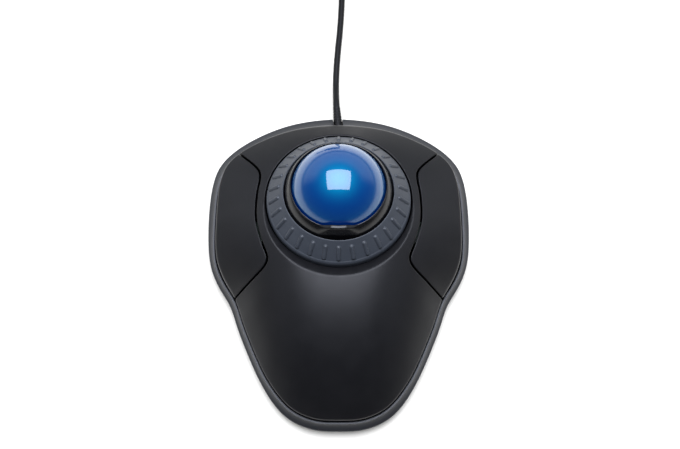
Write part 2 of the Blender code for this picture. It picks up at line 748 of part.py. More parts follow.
def make_electronics(materials):
    """The main board with its parts, and on each side a switch on its own small board."""
    floor = FLOOR_TOP + GAP
    board_top = floor + 1.6 * MM
    chip_low = board_top + GAP
    parts = (
        ("main_board", (-17, -16), (17, 42.5), floor, board_top, "board"),
        ("optical_sensor", (-5, 19), (5, 28), chip_low, chip_low + 3.0 * MM, "chip"),
        ("sensor_lens", (-3.5, 20), (3.5, 27), chip_low + 3.3 * MM, chip_low + 5.2 * MM, "lens"),
        ("controller_chip", (-4, -9), (4, -1), chip_low, chip_low + 1.2 * MM, "chip"),
        ("cable_connector", (-5, 36), (5, 41), chip_low, chip_low + 4.2 * MM, "white"),
    )
    for name, low, high, bottom, top, look in parts:
        mesh = block(name, (low[0] * MM, low[1] * MM, bottom), (high[0] * MM, high[1] * MM, top))
        make_object(name, mesh, materials[look])
    for word, side in (("left", -1), ("right", 1)):
        x = SWITCH_X * side
        switch_parts = (
            (f"switch_pedestal_{word}", 4.5, 8.0, floor, 8.6, "inner"),
            (f"switch_board_{word}", 5.5, 9.0, 8.9 * MM, 10.5, "board"),
            (f"switch_{word}", 2.9, 6.4, 10.8 * MM, 16.6, "chip"),
            (f"switch_plunger_{word}", 0.8, 1.5, 17.4 * MM, PLUNGER_TOP / MM, "white"),
        )
        for name, half_x, half_y, bottom, top, look in switch_parts:
            low = (x - half_x * MM, SWITCH_Y - half_y * MM, bottom)
            high = (x + half_x * MM, SWITCH_Y + half_y * MM, top * MM)
            make_object(name, block(name, low, high), materials[look])


def make_encoder_sensor(materials, axis):
    """The reader under the encoder ring's teeth, in front of the carrier's flange."""
    low = Vector((-3, -29.6, -12.2)) * MM
    high = Vector((3, -27.0, -9.3)) * MM
    make_object("encoder_sensor", block("encoder_sensor", low, high), materials["chip"], axis)


def make_feet_and_label(materials):
    """Four rubber feet, which the whole device stands on, and a blank plate between them."""
    for index, (x, y) in enumerate(((-36, 40), (36, 40), (-19, -40), (19, -40))):
        mesh = cylinder(f"foot_{index + 1}", 5.5 * MM, 0, BASE_UNDERSIDE - GAP, 24)
        make_object(f"foot_{index + 1}", place(mesh, Vector((x, y, 0)) * MM), materials["rubber"])
    top = BASE_UNDERSIDE - GAP
    plate = block("label_plate", (-14 * MM, -10 * MM, top - 0.4 * MM), (14 * MM, 14 * MM, top))
    make_object("label_plate", plate, materials["label"])


def make_screws(materials):
    for index, place_at in enumerate(screw_places()):
        profile = (
            (0, 1.9 * MM), (2.6 * MM, 1.9 * MM), (2.6 * MM, 2.4 * MM), (SCREW_RADIUS, 2.4 * MM),
            (SCREW_RADIUS, SCREW_TIP), (0, SCREW_TIP),
        )
        mesh = place(turned(f"case_screw_{index + 1}", profile, 12), Vector((*place_at, 0)))
        make_object(f"case_screw_{index + 1}", mesh, materials["steel"])


def make_relief(materials):
    """The tapered strain relief, from the cable's clamp inside the tray to a little past the skirt."""
    length = RELIEF_LENGTH
    wide, narrow = CABLE_RADIUS + 0.5 * MM, CABLE_RADIUS + 0.1 * MM
    profile = ((0, 0), (wide, 0), (wide, 0.45 * length), (narrow, length), (0, length))
    mesh = turned("strain_relief", profile, 16)
    mesh.transform(relief_place(EXIT_HEIGHT) @ Matrix.Rotation(math.radians(-90), 4, "X"))
    make_object("strain_relief", mesh, materials["cable"])


def make_tube(name, points_mm, material):
    """A run of cable as a bevelled curve with closed ends."""
    path = smooth_path([Vector(point) * MM for point in points_mm], 2)
    curve = bpy.data.curves.new(name, "CURVE")
    curve.dimensions = "3D"
    curve.bevel_depth = CABLE_RADIUS
    curve.bevel_resolution = 2
    curve.use_fill_caps = True
    spline = curve.splines.new("POLY")
    spline.points.add(len(path) - 1)
    for point, where in zip(spline.points, path):
        point.co = (*where, 1)
    obj = bpy.data.objects.new(name, curve)
    obj.data.materials.append(material)
    bpy.context.scene.collection.objects.link(obj)


def make_coil(materials):
    """The outer shape of the wound cable, and the two ties that hold it."""
    half_width = COIL_COLUMNS * CABLE_RADIUS + 0.1 * MM
    inner, outer = COIL_RADIUS - half_width, COIL_RADIUS + half_width
    low, high = COIL_BOTTOM, COIL_BOTTOM + 2 * COIL_LAYERS * CABLE_RADIUS + 0.1 * MM
    bevel = 0.8 * MM
    profile = (
        (inner, low + bevel), (inner, high - bevel), (inner + bevel, high), (outer - bevel, high),
        (outer, high - bevel), (outer, low + bevel), (outer - bevel, low), (inner + bevel, low),
    )
    centre = Vector((*COIL_CENTRE, 0))
    make_object("cable_coil", place(turned("cable_coil", profile, 36), centre), materials["cable"])
    for index, angle in enumerate((math.radians(195), math.radians(285))):
        points, faces = [], []
        for y in (-2 * MM, 2 * MM):
            for away in (GAP, GAP + TIE_THICKNESS):
                left, right, bottom, top = inner - away, outer + away, low - away, high + away
                corners = ((left, bottom), (right, bottom), (right, top), (left, top))
                points += [Vector((across, y, height)) for across, height in corners]
        for k in range(4):
            n = (k + 1) % 4
            faces += [(k, n, 4 + n, 4 + k), (8 + k, 8 + n, 12 + n, 12 + k)]
            faces += [(k, n, 8 + n, 8 + k), (4 + k, 4 + n, 12 + n, 12 + k)]
        mesh = mesh_from(f"cable_tie_{index + 1}", points, faces)
        mesh.transform(Matrix.Translation(centre) @ Matrix.Rotation(angle, 4, "Z"))
        make_object(f"cable_tie_{index + 1}", mesh, materials["rubber"])


def make_plug(materials):
    """A USB-A plug lying on the table: neck, moulded body, steel shell and the tongue inside it."""
    x, y, z = PLUG_START
    neck = cylinder("plug_neck", 2.3 * MM, 0, 6 * MM, 16)
    neck.transform(Matrix.Translation((x, y - GAP, z)) @ Matrix.Rotation(math.radians(90), 4, "X"))
    make_object("plug_neck", neck, materials["cable"])
    body_back = y - 6 * MM - 2 * GAP
    body_front = body_back - 17 * MM
    half_x, half_z = 7.7 * MM, 3.7 * MM
    body = block("plug_body", (x - half_x, body_front, z - half_z), (x + half_x, body_back, z + half_z))
    make_object("plug_body", body, materials["cable"])
    shell_back = body_front - GAP
    shell_front = shell_back - 12 * MM
    half_x, half_z = 6.0 * MM, 2.25 * MM
    mesh = block("plug_shell", (x - half_x, shell_front, z - half_z), (x + half_x, shell_back, z + half_z))
    shell = make_object("plug_shell", mesh, materials["steel"])
    wall = 0.35 * MM
    socket_back = shell_back - 1 * MM
    low = (x - half_x + wall, shell_front - 1 * MM, z - half_z + wall)
    high = (x + half_x - wall, socket_back, z + half_z - wall)
    add_boolean(shell, make_cutter("plug_socket", block("plug_socket", low, high)), "DIFFERENCE")
    low = (x - half_x + wall + GAP, shell_front + 0.8 * MM, z)
    high = (x + half_x - wall - GAP, socket_back - GAP, z + half_z - wall - GAP)
    make_object("plug_tongue", block("plug_tongue", low, high), materials["white"])


def main():
    clear_scene()
    materials = make_materials()
    axis = make_axis_empty()
    make_base(materials)
    make_cover(materials)
    make_buttons(materials)
    make_scroll_ring(materials, axis)
    make_encoder_ring(materials, axis)
    make_bezel(materials, axis)
    make_cup(materials, axis)
    make_balls(materials, axis)
    make_ring_carrier(materials, axis)
    make_electronics(materials)
    make_encoder_sensor(materials, axis)
    make_feet_and_label(materials)
    make_screws(materials)
    make_relief(materials)
    make_tube("cable_run", CABLE_RUN_MM, materials["cable"])
    make_tube("cable_tail", CABLE_TAIL_MM, materials["cable"])
    make_coil(materials)
    make_plug(materials)


main()
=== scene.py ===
"""Wired trackball: the fine surfaces, the cable and the finishes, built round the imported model.

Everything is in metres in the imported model's frame: +Y runs to the back, where the cable leaves, and
+Z is up. The ball, its bezel and the scroll ring share one axis, which leans back through the ball's centre.
"""

import json
import math

import bmesh
import bpy
import numpy as np
from mathutils import Matrix, Vector
from mathutils.geometry import delaunay_2d_cdt

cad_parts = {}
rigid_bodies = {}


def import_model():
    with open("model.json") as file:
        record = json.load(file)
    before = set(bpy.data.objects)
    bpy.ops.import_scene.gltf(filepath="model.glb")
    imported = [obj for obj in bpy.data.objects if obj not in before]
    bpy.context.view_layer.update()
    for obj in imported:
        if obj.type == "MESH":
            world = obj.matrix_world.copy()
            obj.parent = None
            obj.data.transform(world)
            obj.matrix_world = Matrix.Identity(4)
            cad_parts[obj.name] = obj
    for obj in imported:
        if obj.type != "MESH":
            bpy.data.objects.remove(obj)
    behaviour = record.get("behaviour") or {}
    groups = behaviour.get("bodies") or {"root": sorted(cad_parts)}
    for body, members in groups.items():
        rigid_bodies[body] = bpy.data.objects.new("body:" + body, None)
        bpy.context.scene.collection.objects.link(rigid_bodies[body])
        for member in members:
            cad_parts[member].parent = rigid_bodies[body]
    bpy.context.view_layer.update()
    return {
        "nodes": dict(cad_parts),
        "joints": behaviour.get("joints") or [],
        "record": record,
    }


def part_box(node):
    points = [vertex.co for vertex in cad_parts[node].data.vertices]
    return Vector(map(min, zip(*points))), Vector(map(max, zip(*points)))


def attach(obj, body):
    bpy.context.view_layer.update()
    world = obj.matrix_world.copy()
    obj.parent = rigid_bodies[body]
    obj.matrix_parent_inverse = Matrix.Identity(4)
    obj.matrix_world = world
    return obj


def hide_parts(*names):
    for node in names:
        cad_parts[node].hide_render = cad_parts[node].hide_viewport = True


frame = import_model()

MM = 0.001
GAP = 0.3 * MM

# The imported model's joints give the ball's centre and the leaning axis.
JOINTS = {joint["name"]: joint for joint in frame["joints"]}
BALL_CENTRE = Vector(JOINTS["ring_spin"]["pos_m"])
RING_AXIS = Vector(JOINTS["ring_spin"]["axis"]).normalized()
LEAN = math.atan2(RING_AXIS.y, RING_AXIS.z)
BALL_RADIUS = 20 * MM

# Case outline, right half, from the middle of the back to the middle of the front (millimetres).
OUTLINE_MM = (
    (0, 71.3), (22.2, 68.3), (41.2, 59.8), (53.4, 49.2), (57.6, 37), (58.4, 18), (56.8, 1),
    (52.3, -9.8), (47, -17.9), (42.3, -30.7), (32.5, -51.4), (22.7, -64.2), (11.1, -69.7), (0, -70.4),
)
# Line between the right button and the cover, from back to front. Both ends run past the case.
BUTTON_LINE_MM = (
    (52, 57), (42.5, 46.6), (35.3, 38.8), (33.6, 34), (34.6, 25), (34.4, 14),
    (31.6, 4), (29.2, -2.4), (30.4, -6), (35.8, -10.2), (44.3, -16.1), (54, -22.6),
)
CURVE_STEPS = 14
FAR_OUT = 90 * MM

# Base tray. Its section is (inwards, height) rows: the flank from the underside, counted from the outline and
# the table, and the lip, counted from the seam and the lip's top.
TRAY_FLANK_MM = (
    (6.0, 1.6), (3.4, 1.6), (2.6, 1.9), (1.6, 2.5), (0.8, 3.4), (0.3, 4.3), (0.05, 5.1), (0.0, 5.6),
    (0.08, 5.9), (0.3, 6.2), (0.75, 6.5),
)
TRAY_LIP_MM = (
    (-1.3, -1.1), (-1.1, -0.8), (-1.02, -0.25), (-0.95, -0.08), (-0.85, 0), (-0.14, 0), (-0.04, -0.05),
    (0, -0.2),
)
SCREW_HOLE_MM = ((3.7, 1), (3.2, 2), (3.2, 2.7), (1.5, 2.7), (1.5, 6))
FLOOR_TOP = 3.6 * MM
RIM_LIP = 9.3 * MM
GROOVE_FLOOR = 7.4 * MM
SKIRT = 3.7 * MM
SKIRT_EXTRA_AT_BACK = 1.7 * MM
SKIRT_LESS_AT_PALM = 0.75 * MM
WALL = 2.2 * MM

# Cover surface round the scroll ring.
HUB = np.array((0, 23.1)) * MM
HOLE_RADIUS = 30.9 * MM
HOLE_HEIGHT = 30.3 * MM
HOLE_DROP = HOLE_RADIUS * math.sin(LEAN)
FRONT_RECESS = 1.2 * MM
CREST_WIDTH = 3.9 * MM
CREST_RISE = 2.6 * MM
RAMP_SHARE = 0.76
SEAM_HEIGHT = 10 * MM

# Shape of the cover behind, beside and in front of the ring: the wall that rises from the seam, how far it
# leans inwards, and the dome's slope at the ring as a share of its mean slope.
WALL_HEIGHTS = (9.7 * MM, 8.6 * MM, 2.6 * MM)
WALL_LEANS = (4.0 * MM, 1.8 * MM, 0.35 * MM)
FIRST_SLOPES = (0.95, 0.8, 0.33)
SHOULDER_BLEND = 2 * MM
SHOULDER_SHIFTS = np.array((
    -3.0, -2.2, -1.6, -1.1, -0.8, -0.55, -0.35, -0.15, 0.05, 0.25, 0.45, 0.7, 1.1, 1.7, 2.4, 3.1,
)) * MM

# Edges of the moulded plates.
EDGE_RADIUS = 0.4 * MM
LOOP_SPACING = 0.5 * MM
GRID_SPACING = 1.3 * MM
SEAM_GAP = 0.42 * MM
BUTTON_GAP = 0.42 * MM
BUTTON_WALL = 2.0 * MM
BUTTON_UNDERSIDE = 9.0 * MM

# Scroll ring.
RIBS = 30
RIB_HEIGHT = 0.72 * MM
RIB_HALF_WIDTH = 0.95 * MM
RIB_START = 2.7 * MM

# Collar round the ball.
LOBE_FLAT_ANGLE = math.radians(6)
LOBE_HALF_ANGLE = math.radians(24)

# Cable.
CABLE_RADIUS = 1.5 * MM
RELIEF_START = Vector((0, 65, 5.4)) * MM
RELIEF_LENGTH = 13 * MM
RELIEF_TURN = math.radians(4.5)
COIL_CENTRE = Vector((-19.4, 171.0, 0)) * MM
COIL_RADII = (21 * MM, 18 * MM, 15 * MM)
COIL_LAYERS = 4
COIL_FIRST_HEIGHT = 2.4 * MM
CABLE_RUN_MM = (
    (-0.71, 74, 5.4), (-1.04, 78.26, 5.3), (-1.2, 82, 4.6), (-1.3, 88, 2.4), (-1.3, 93, 1.65),
    (-1.0, 101, 1.6), (-0.2, 112, 1.6), (0.6, 121, 1.6), (1.2, 130, 1.6), (1.6, 140, 1.7),
    (1.6, 149, 2.1), (1.6, 158.4, 2.4),
)
CABLE_TAIL_MM = (
    (-31.4, 192.3, 10.6), (-37, 192.6, 9.3), (-43.5, 191.7, 7.3), (-49.5, 188.9, 5.3), (-53.6, 184.5, 4.3),
    (-55.3, 180, 3.9), (-55.5, 177.4, 3.8),
)

# Camera: in front of the device and high above it.
CAMERA_TARGET = Vector((0, 14.84, 20.0)) * MM
CAMERA_DISTANCE = 325.1 * MM
CAMERA_ELEVATION = math.radians(72.24)
CAMERA_LENS_MM = 40.1
CAMERA_SHIFT = 0.002

# Floor: pale round the device, darker from the first distance to the second (metres). The darkening is a
# painted pool of light, for light that falls off away from the device.
FLOOR_HALF_SIZE = 6.0
PAINTED_FLOOR_FALLOFF = (0.22, 0.55)
FLOOR_NEAR = (0.9, 0.862, 0.76, 1)
FLOOR_FAR = (0.4, 0.385, 0.345, 1)

# Light: the panels, the dark studio, and where the backdrop fades (components of the direction).
PANEL_COLOUR = (0.92, 0.96, 1.09)
SIDE_POWER = 1.7
STUDIO_COLOUR = (0.93, 0.98, 1.04, 1)
STUDIO_STRENGTH = 0.05
BACKDROP_STRENGTH = 0.85
BACKDROP_SIDES = (0.08, 0.5)
BACKDROP_TOP = (0.72, 0.42)

# The part of a noise texture's values that its patches use.
NOISE_RANGE = (0.3, 0.7)


# ---- camera, floor and light

def add_object(name, data):
    obj = bpy.data.objects.new(name, data)
    bpy.context.scene.collection.objects.link(obj)
    return obj


def make_camera():
    """The photograph's view, from the front and steeply down."""
    camera = bpy.data.cameras.new("camera")
    camera.lens = CAMERA_LENS_MM
    camera.sensor_width = 36
    camera.shift_x = CAMERA_SHIFT
    camera.clip_start = 0.01
    obj = add_object("camera", camera)
    back = Vector((0, -math.cos(CAMERA_ELEVATION), math.sin(CAMERA_ELEVATION)))
    obj.location = CAMERA_TARGET + back * CAMERA_DISTANCE
    obj.rotation_euler = (math.pi / 2 - CAMERA_ELEVATION, 0, 0)
    bpy.context.scene.camera = obj


def make_panel(name, azimuth, elevation, distance, size, power):
    """A soft rectangular light that faces the ball. Azimuth 0 is behind the device and 90 is on its right."""
    light = bpy.data.lights.new(name, "AREA")
    light.shape = "RECTANGLE"
    light.size, light.size_y = size
    light.energy = power
    light.color = PANEL_COLOUR
    obj = add_object(name, light)
    a, e = math.radians(azimuth), math.radians(elevation)
    way = Vector((math.sin(a) * math.cos(e), math.cos(a) * math.cos(e), math.sin(e)))
    obj.location = BALL_CENTRE + way * distance
    obj.rotation_mode = "QUATERNION"
    obj.rotation_quaternion = way.to_track_quat("Z", "Y")
    return obj


def make_side_panels():
    """Two dim panels that light the sides of the device, and neither the ball nor the floor."""
    lit = bpy.data.collections.new("lit_by_side_panels")
    for obj in bpy.context.scene.objects:
        if obj.type == "MESH" and obj.name not in ("floor", "pearl_ball"):
            lit.objects.link(obj)
    for name, azimuth in (("left_panel", -84), ("right_panel", 84)):
        panel = make_panel(name, azimuth, 32, 1.0, (1.1, 0.55), SIDE_POWER)
        panel.light_linking.receiver_collection = lit


def make_floor():
    """A pale table with a painted pool of light: its colour darkens away from the device, well outside the
    picture.
    """
    mesh = bpy.data.meshes.new("floor")
    corners = [(x * FLOOR_HALF_SIZE, y * FLOOR_HALF_SIZE, 0) for x, y in ((-1, -1), (1, -1), (1, 1), (-1, 1))]
    mesh.from_pydata(corners, [], [(0, 1, 2, 3)])
    floor = add_object("floor", mesh)
    floor.location.z = -0.1 * MM
    material = surface("studio_floor", FLOOR_NEAR[:3], 0.7, Specular_IOR_Level=0.1)
    tree = material.node_tree
    length = tree.nodes.new("ShaderNodeVectorMath")
    length.operation = "LENGTH"
    tree.links.new(tree.nodes.new("ShaderNodeTexCoord").outputs["Object"], length.inputs[0])
    # painted falloff of light: the floor's colour darkens with distance from the middle
    fade = mapped(tree, length.outputs["Value"], PAINTED_FLOOR_FALLOFF, smooth=True)
    colour = mixed(tree, fade, FLOOR_NEAR, FLOOR_FAR)
    tree.links.new(colour, tree.nodes["Principled BSDF"].inputs["Base Color"])
    floor.data.materials.append(material)


def make_world():
    """A dark studio with a pale backdrop behind the device."""
    world = bpy.data.worlds.new("studio")
    world.use_nodes = True
    bpy.context.scene.world = world
    tree = world.node_tree
    split = tree.nodes.new("ShaderNodeSeparateXYZ")
    tree.links.new(tree.nodes.new("ShaderNodeTexCoord").outputs["Generated"], split.inputs["Vector"])
    share = tree.nodes.new("ShaderNodeMath")
    share.operation = "MULTIPLY"
    tree.links.new(mapped(tree, split.outputs["Y"], BACKDROP_SIDES, smooth=True), share.inputs[0])
    tree.links.new(mapped(tree, split.outputs["Z"], BACKDROP_TOP, smooth=True), share.inputs[1])
    strength = mapped(tree, share.outputs["Value"], (0, 1), (STUDIO_STRENGTH, BACKDROP_STRENGTH))
    background = tree.nodes["Background"]
    tree.links.new(strength, background.inputs["Strength"])
    background.inputs["Color"].default_value = STUDIO_COLOUR
    bpy.context.scene.view_settings.view_transform = "Standard"


# ---- materials

def mapped(tree, value, source, target=(0, 1), smooth=False):
    """The value moved from the source range to the target range."""
    node = tree.nodes.new("ShaderNodeMapRange")
    node.interpolation_type = "SMOOTHSTEP" if smooth else "LINEAR"
    node.inputs["From Min"].default_value, node.inputs["From Max"].default_value = source
    node.inputs["To Min"].default_value, node.inputs["To Max"].default_value = target
    tree.links.new(value, node.inputs["Value"])
    return node.outputs["Result"]


def mixed(tree, share, first, second):
    """A colour between two, by a share that varies over the surface."""
    node = tree.nodes.new("ShaderNodeMix")
    node.data_type = "RGBA"
    node.inputs["A"].default_value, node.inputs["B"].default_value = first, second
    tree.links.new(share, node.inputs["Factor"])
    return node.outputs["Result"]


def surface(name, colour, roughness, grain=None, mottle=None, smudge=None, **values):
    """A moulded surface. grain is (size, depth), mottle is (size, share of the colour) and smudge is
    (size, change of roughness), with lengths in millimetres. The other values are the shader's own."""
    material = bpy.data.materials.new(name)
    material.use_nodes = True
    tree = material.node_tree
    shader = tree.nodes["Principled BSDF"]
    shader.inputs["Base Color"].default_value = (*colour, 1)
    shader.inputs["Roughness"].default_value = roughness
    for key, value in values.items():
        shader.inputs[key.replace("_", " ")].default_value = value
    place = tree.nodes.new("ShaderNodeTexCoord").outputs["Object"]

    def noise(size, detail):
        node = tree.nodes.new("ShaderNodeTexNoise")
        node.inputs["Scale"].default_value = 1 / (size * MM)
        node.inputs["Detail"].default_value = detail
        tree.links.new(place, node.inputs["Vector"])
        return node.outputs["Fac"]

    if mottle:
        size, share = mottle
        darker, lighter = ((*[min(1, c * scale) for c in colour], 1) for scale in (1 - share, 1 + share))
        patches = mapped(tree, noise(size, 3), NOISE_RANGE)
        tree.links.new(mixed(tree, patches, darker, lighter), shader.inputs["Base Color"])
    if smudge:
        size, amount = smudge
        patches = mapped(tree, noise(size, 4), NOISE_RANGE, (roughness - amount, roughness + amount))
        tree.links.new(patches, shader.inputs["Roughness"])
    if grain:
        size, depth = grain
        bump = tree.nodes.new("ShaderNodeBump")
        bump.inputs["Distance"].default_value = depth * MM
        tree.links.new(noise(size, 2), bump.inputs["Height"])
        tree.links.new(bump.outputs["Normal"], shader.inputs["Normal"])
    return material


# ---- curves in the plane

def smooth_path(points, steps):
    """Points along the Catmull-Rom curve through the given points, both ends included."""
    points = [np.asarray(point, float) for point in points]
    path = []
    last = len(points) - 1
    for index in range(last):
        before = points[max(index - 1, 0)]
        start, end = points[index], points[index + 1]
        after = points[min(index + 2, last)]
        for step in range(steps):
            t = step / steps
            path.append(
                0.5 * (2 * start + (end - before) * t + (2 * before - 5 * start + 4 * end - after) * t**2
                       + (3 * start - before - 3 * end + after) * t**3)
            )
    path.append(points[last])
    return np.array(path)


def case_outline():
    """The widest edge of the case as a closed loop, clockwise from the back as seen from above."""
    right = [np.array(point) * MM for point in OUTLINE_MM]
    left = [point * (-1, 1) for point in right[-2::-1]]
    path = smooth_path([left[-2]] + right + left + [right[1]], CURVE_STEPS)
    return path[CURVE_STEPS:-CURVE_STEPS - 1]


def inset(loop, distance):
    """The clockwise loop moved inwards by a distance, or by a distance for each point."""
    along = np.roll(loop, -1, 0) - np.roll(loop, 1, 0)
    along /= np.linalg.norm(along, axis=1)[:, None]
    inwards = np.c_[along[:, 1], -along[:, 0]]
    return loop + inwards * np.reshape(distance, (-1, 1))


def smooth_blend(low, high, value):
    t = np.clip((value - low) / (high - low), 0, 1)
    return t * t * (3 - 2 * t)


def skirt_width(loop):
    """The skirt is widest across the back, and narrower beside the palm rest than at its front end."""
    y = loop[:, 1]
    at_back = smooth_blend(32 * MM, 62 * MM, y)
    at_palm = smooth_blend(26 * MM, -8 * MM, y) * (1 - smooth_blend(-46 * MM, -68 * MM, y))
    return SKIRT + SKIRT_EXTRA_AT_BACK * at_back - SKIRT_LESS_AT_PALM * at_palm


def rounded(loop, spacing, passes):
    """The closed loop with evenly spaced points and softened corners."""
    closed = np.vstack([loop, loop[:1]])
    lengths = np.r_[0, np.cumsum(np.linalg.norm(np.diff(closed, axis=0), axis=1))]
    count = max(8, round(lengths[-1] / spacing))
    places = np.arange(count) * lengths[-1] / count
    even = np.c_[np.interp(places, lengths, closed[:, 0]), np.interp(places, lengths, closed[:, 1])]
    for _ in range(passes):
        even = 0.5 * even + 0.25 * (np.roll(even, 1, 0) + np.roll(even, -1, 0))
    return even


def is_inside(points, loop):
    """For each point, whether the loop goes round it."""
    inside = np.zeros(len(points), bool)
    for start, end in zip(np.roll(loop, 1, 0), loop):
        if start[1] == end[1]:
            continue
        crosses = (start[1] > points[:, 1]) != (end[1] > points[:, 1])
        where = end[0] + (points[:, 1] - end[1]) * (start[0] - end[0]) / (start[1] - end[1])
        inside ^= crosses & (points[:, 0] < where)
    return inside


def edge_distance(points, loop):
    """For each point, how far the loop's nearest point is."""
    nearest = np.full(len(points), np.inf)
    for start, end in zip(np.roll(loop, 1, 0), loop):
        leg = end - start
        t = np.clip(((points - start) @ leg) / max(leg @ leg, 1e-18), 0, 1)
        nearest = np.minimum(nearest, np.linalg.norm(points - start - t[:, None] * leg, axis=1))
    return nearest


OUTLINE = rounded(case_outline(), LOOP_SPACING, 60)
SEAM = inset(OUTLINE, skirt_width(OUTLINE))


# ---- the cover's surface

def by_direction(values, backwards):
    """Blends a value for behind, beside and in front of the ring. backwards is 1 straight behind it."""
    back, side, front = values
    behind, ahead = np.maximum(0, backwards)**2, smooth_blend(0.1, 0.75, -backwards)
    return side + (back - side) * behind + (front - side) * ahead


def seam_distance(angles):
    """How far the seam is from the hub in each direction."""
    offset = SEAM - HUB
    around = np.arctan2(offset[:, 1], offset[:, 0])
    order = np.argsort(around)
    return np.interp(angles, around[order], np.linalg.norm(offset, axis=1)[order], period=2 * math.pi)


def ramp(share):
    """The recess's rise across its width, 0 to 1: a straight slope that rounds off below the crest."""
    over = np.maximum(0, share - RAMP_SHARE)
    return (share - over**2 / (2 * (1 - RAMP_SHARE))) * 2 / (1 + RAMP_SHARE)


def cover_height(points):
    """Height of the cover's outer surface: a dome that falls from the crest round the hole to the seam."""
    offset = np.asarray(points) - HUB
    radius = np.maximum(np.linalg.norm(offset, axis=1), HOLE_RADIUS * 0.98)
    angle = np.arctan2(offset[:, 1], offset[:, 0])
    backwards = np.sin(angle)
    frontness = np.maximum(0, -backwards)
    hole_height = HOLE_HEIGHT - HOLE_DROP * backwards - FRONT_RECESS * frontness
    crest_height = hole_height + CREST_RISE * frontness
    crest_width = 0.25 * MM + CREST_WIDTH * frontness
    crest_radius = HOLE_RADIUS + crest_width
    seam_radius = seam_distance(angle)
    wall_height, wall_lean = by_direction(WALL_HEIGHTS, backwards), by_direction(WALL_LEANS, backwards)
    run, out = seam_radius - wall_lean - crest_radius, radius - crest_radius
    drop = crest_height - SEAM_HEIGHT - wall_height
    back, side, front = FIRST_SLOPES
    first_share = side + (back - side) * np.maximum(0, backwards)**2 + (front - side) * frontness**2
    first_drop = drop * first_share
    dome = crest_height - first_drop * out / run - (drop - first_drop) * (out / run)**2
    wall = SEAM_HEIGHT + (seam_radius - radius) * wall_height / wall_lean
    nearness = np.maximum(0, 1 - np.abs(dome - wall) / SHOULDER_BLEND)
    outside = np.minimum(dome, wall) - nearness**2 * SHOULDER_BLEND / 4
    recess = hole_height + (crest_height - hole_height) * ramp((radius - HOLE_RADIUS) / crest_width)
    return np.where(radius < crest_radius, recess, outside)


def shoulder_rings():
    """Loops along the cover's shoulder, close enough together to carry its tight curve."""
    angles = -full_circle(900)
    ways = np.c_[np.cos(angles), np.sin(angles)]
    reach = seam_distance(angles) - by_direction(WALL_LEANS, np.sin(angles))
    return [HUB + ways * (reach + shift)[:, None] for shift in SHOULDER_SHIFTS]


def cover_steepness(points):
    """Length of the surface's upward normal before it is scaled to one: 1 where level, more where steep."""
    step = 0.2 * MM
    here = cover_height(points)
    slope_x = (cover_height(points + (step, 0)) - here) / step
    slope_y = (cover_height(points + (0, step)) - here) / step
    return np.sqrt(1 + slope_x**2 + slope_y**2)


# ---- mesh builders

def shaded(mesh, smooth_angle):
    """Shades the mesh smooth, with sharp edges past an angle in degrees."""
    mesh.shade_smooth()
    mesh.set_sharp_from_angle(angle=math.radians(smooth_angle))
    return mesh


def make_mesh(name, points, faces, smooth_angle=40):
    mesh = bpy.data.meshes.new(name)
    mesh.from_pydata([tuple(point) for point in points], [], [tuple(int(i) for i in f) for f in faces])
    work = bmesh.new()
    work.from_mesh(mesh)
    bmesh.ops.recalc_face_normals(work, faces=work.faces)
    work.to_mesh(mesh)
    work.free()
    return shaded(mesh, smooth_angle)


def skin(loops, size, closed=True):
    """Faces between loops of equal size, each joined to the next, and the last to the first where closed."""
    faces = []
    for i in range(loops if closed else loops - 1):
        j = (i + 1) % loops
        for k in range(size):
            n = (k + 1) % size
            faces.append((i * size + k, j * size + k, j * size + n, i * size + n))
    return faces


def add_piece(name, mesh, material, body, slot, *nodes):
    """Links the mesh as a piece of the object that rides on a body and stands for CAD nodes."""
    obj = add_object(name, mesh)
    obj.data.materials.append(material)
    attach(obj, body)
    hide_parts(*nodes)
    return obj


def on_ball_axis(mesh):
    """Moves a mesh made round Z at the origin onto the leaning axis through the ball's centre."""
    mesh.transform(Matrix.Translation(BALL_CENTRE) @ Matrix.Rotation(-LEAN, 4, "X"))
    return mesh


def edge_levels(outwards):
    """(distance, drop) pairs down a rounded edge, from the top surface to where the wall is upright."""
    turns = [math.pi / 2 * (1 - step / 5) for step in range(6)]
    return [(EDGE_RADIUS * (1 - math.cos(turn)) * outwards, EDGE_RADIUS * (1 - math.sin(turn)))
            for turn in turns]


def loose_points(borders, hole, rings):
    """Points between a plate's edges: an even grid, loops along the shoulder, and rings round the hole."""
    outer = borders[0]
    shoulder = np.vstack(shoulder_rings())
    shoulder = shoulder[is_inside(shoulder, outer)]
    shoulder = shoulder[edge_distance(shoulder, outer) > 0.4 * MM]
    reach = np.arange(-90, 91) * GRID_SPACING
    grid = np.array([(x + (row % 2) * GRID_SPACING / 2, row * GRID_SPACING * 0.866)
                     for row in range(-100, 101) for x in reach])
    keep = is_inside(grid, outer) & (edge_distance(grid, outer) > 0.6 * GRID_SPACING)
    if hole is not None:
        limit = inset(hole, -max(rings))
        keep &= ~is_inside(grid, limit) & (edge_distance(grid, limit) > 0.5 * GRID_SPACING)
    grid = grid[keep]
    clear = [np.min(np.linalg.norm(shoulder - point, axis=1), initial=1) > 0.7 * MM for point in grid]
    loose = [grid[np.array(clear)], shoulder]
    for distance in rings:
        ring = inset(hole, -distance)
        within = is_inside(ring, outer) & (edge_distance(ring, outer) > 0.45 * LOOP_SPACING)
        loose.append(ring[within])
    return loose


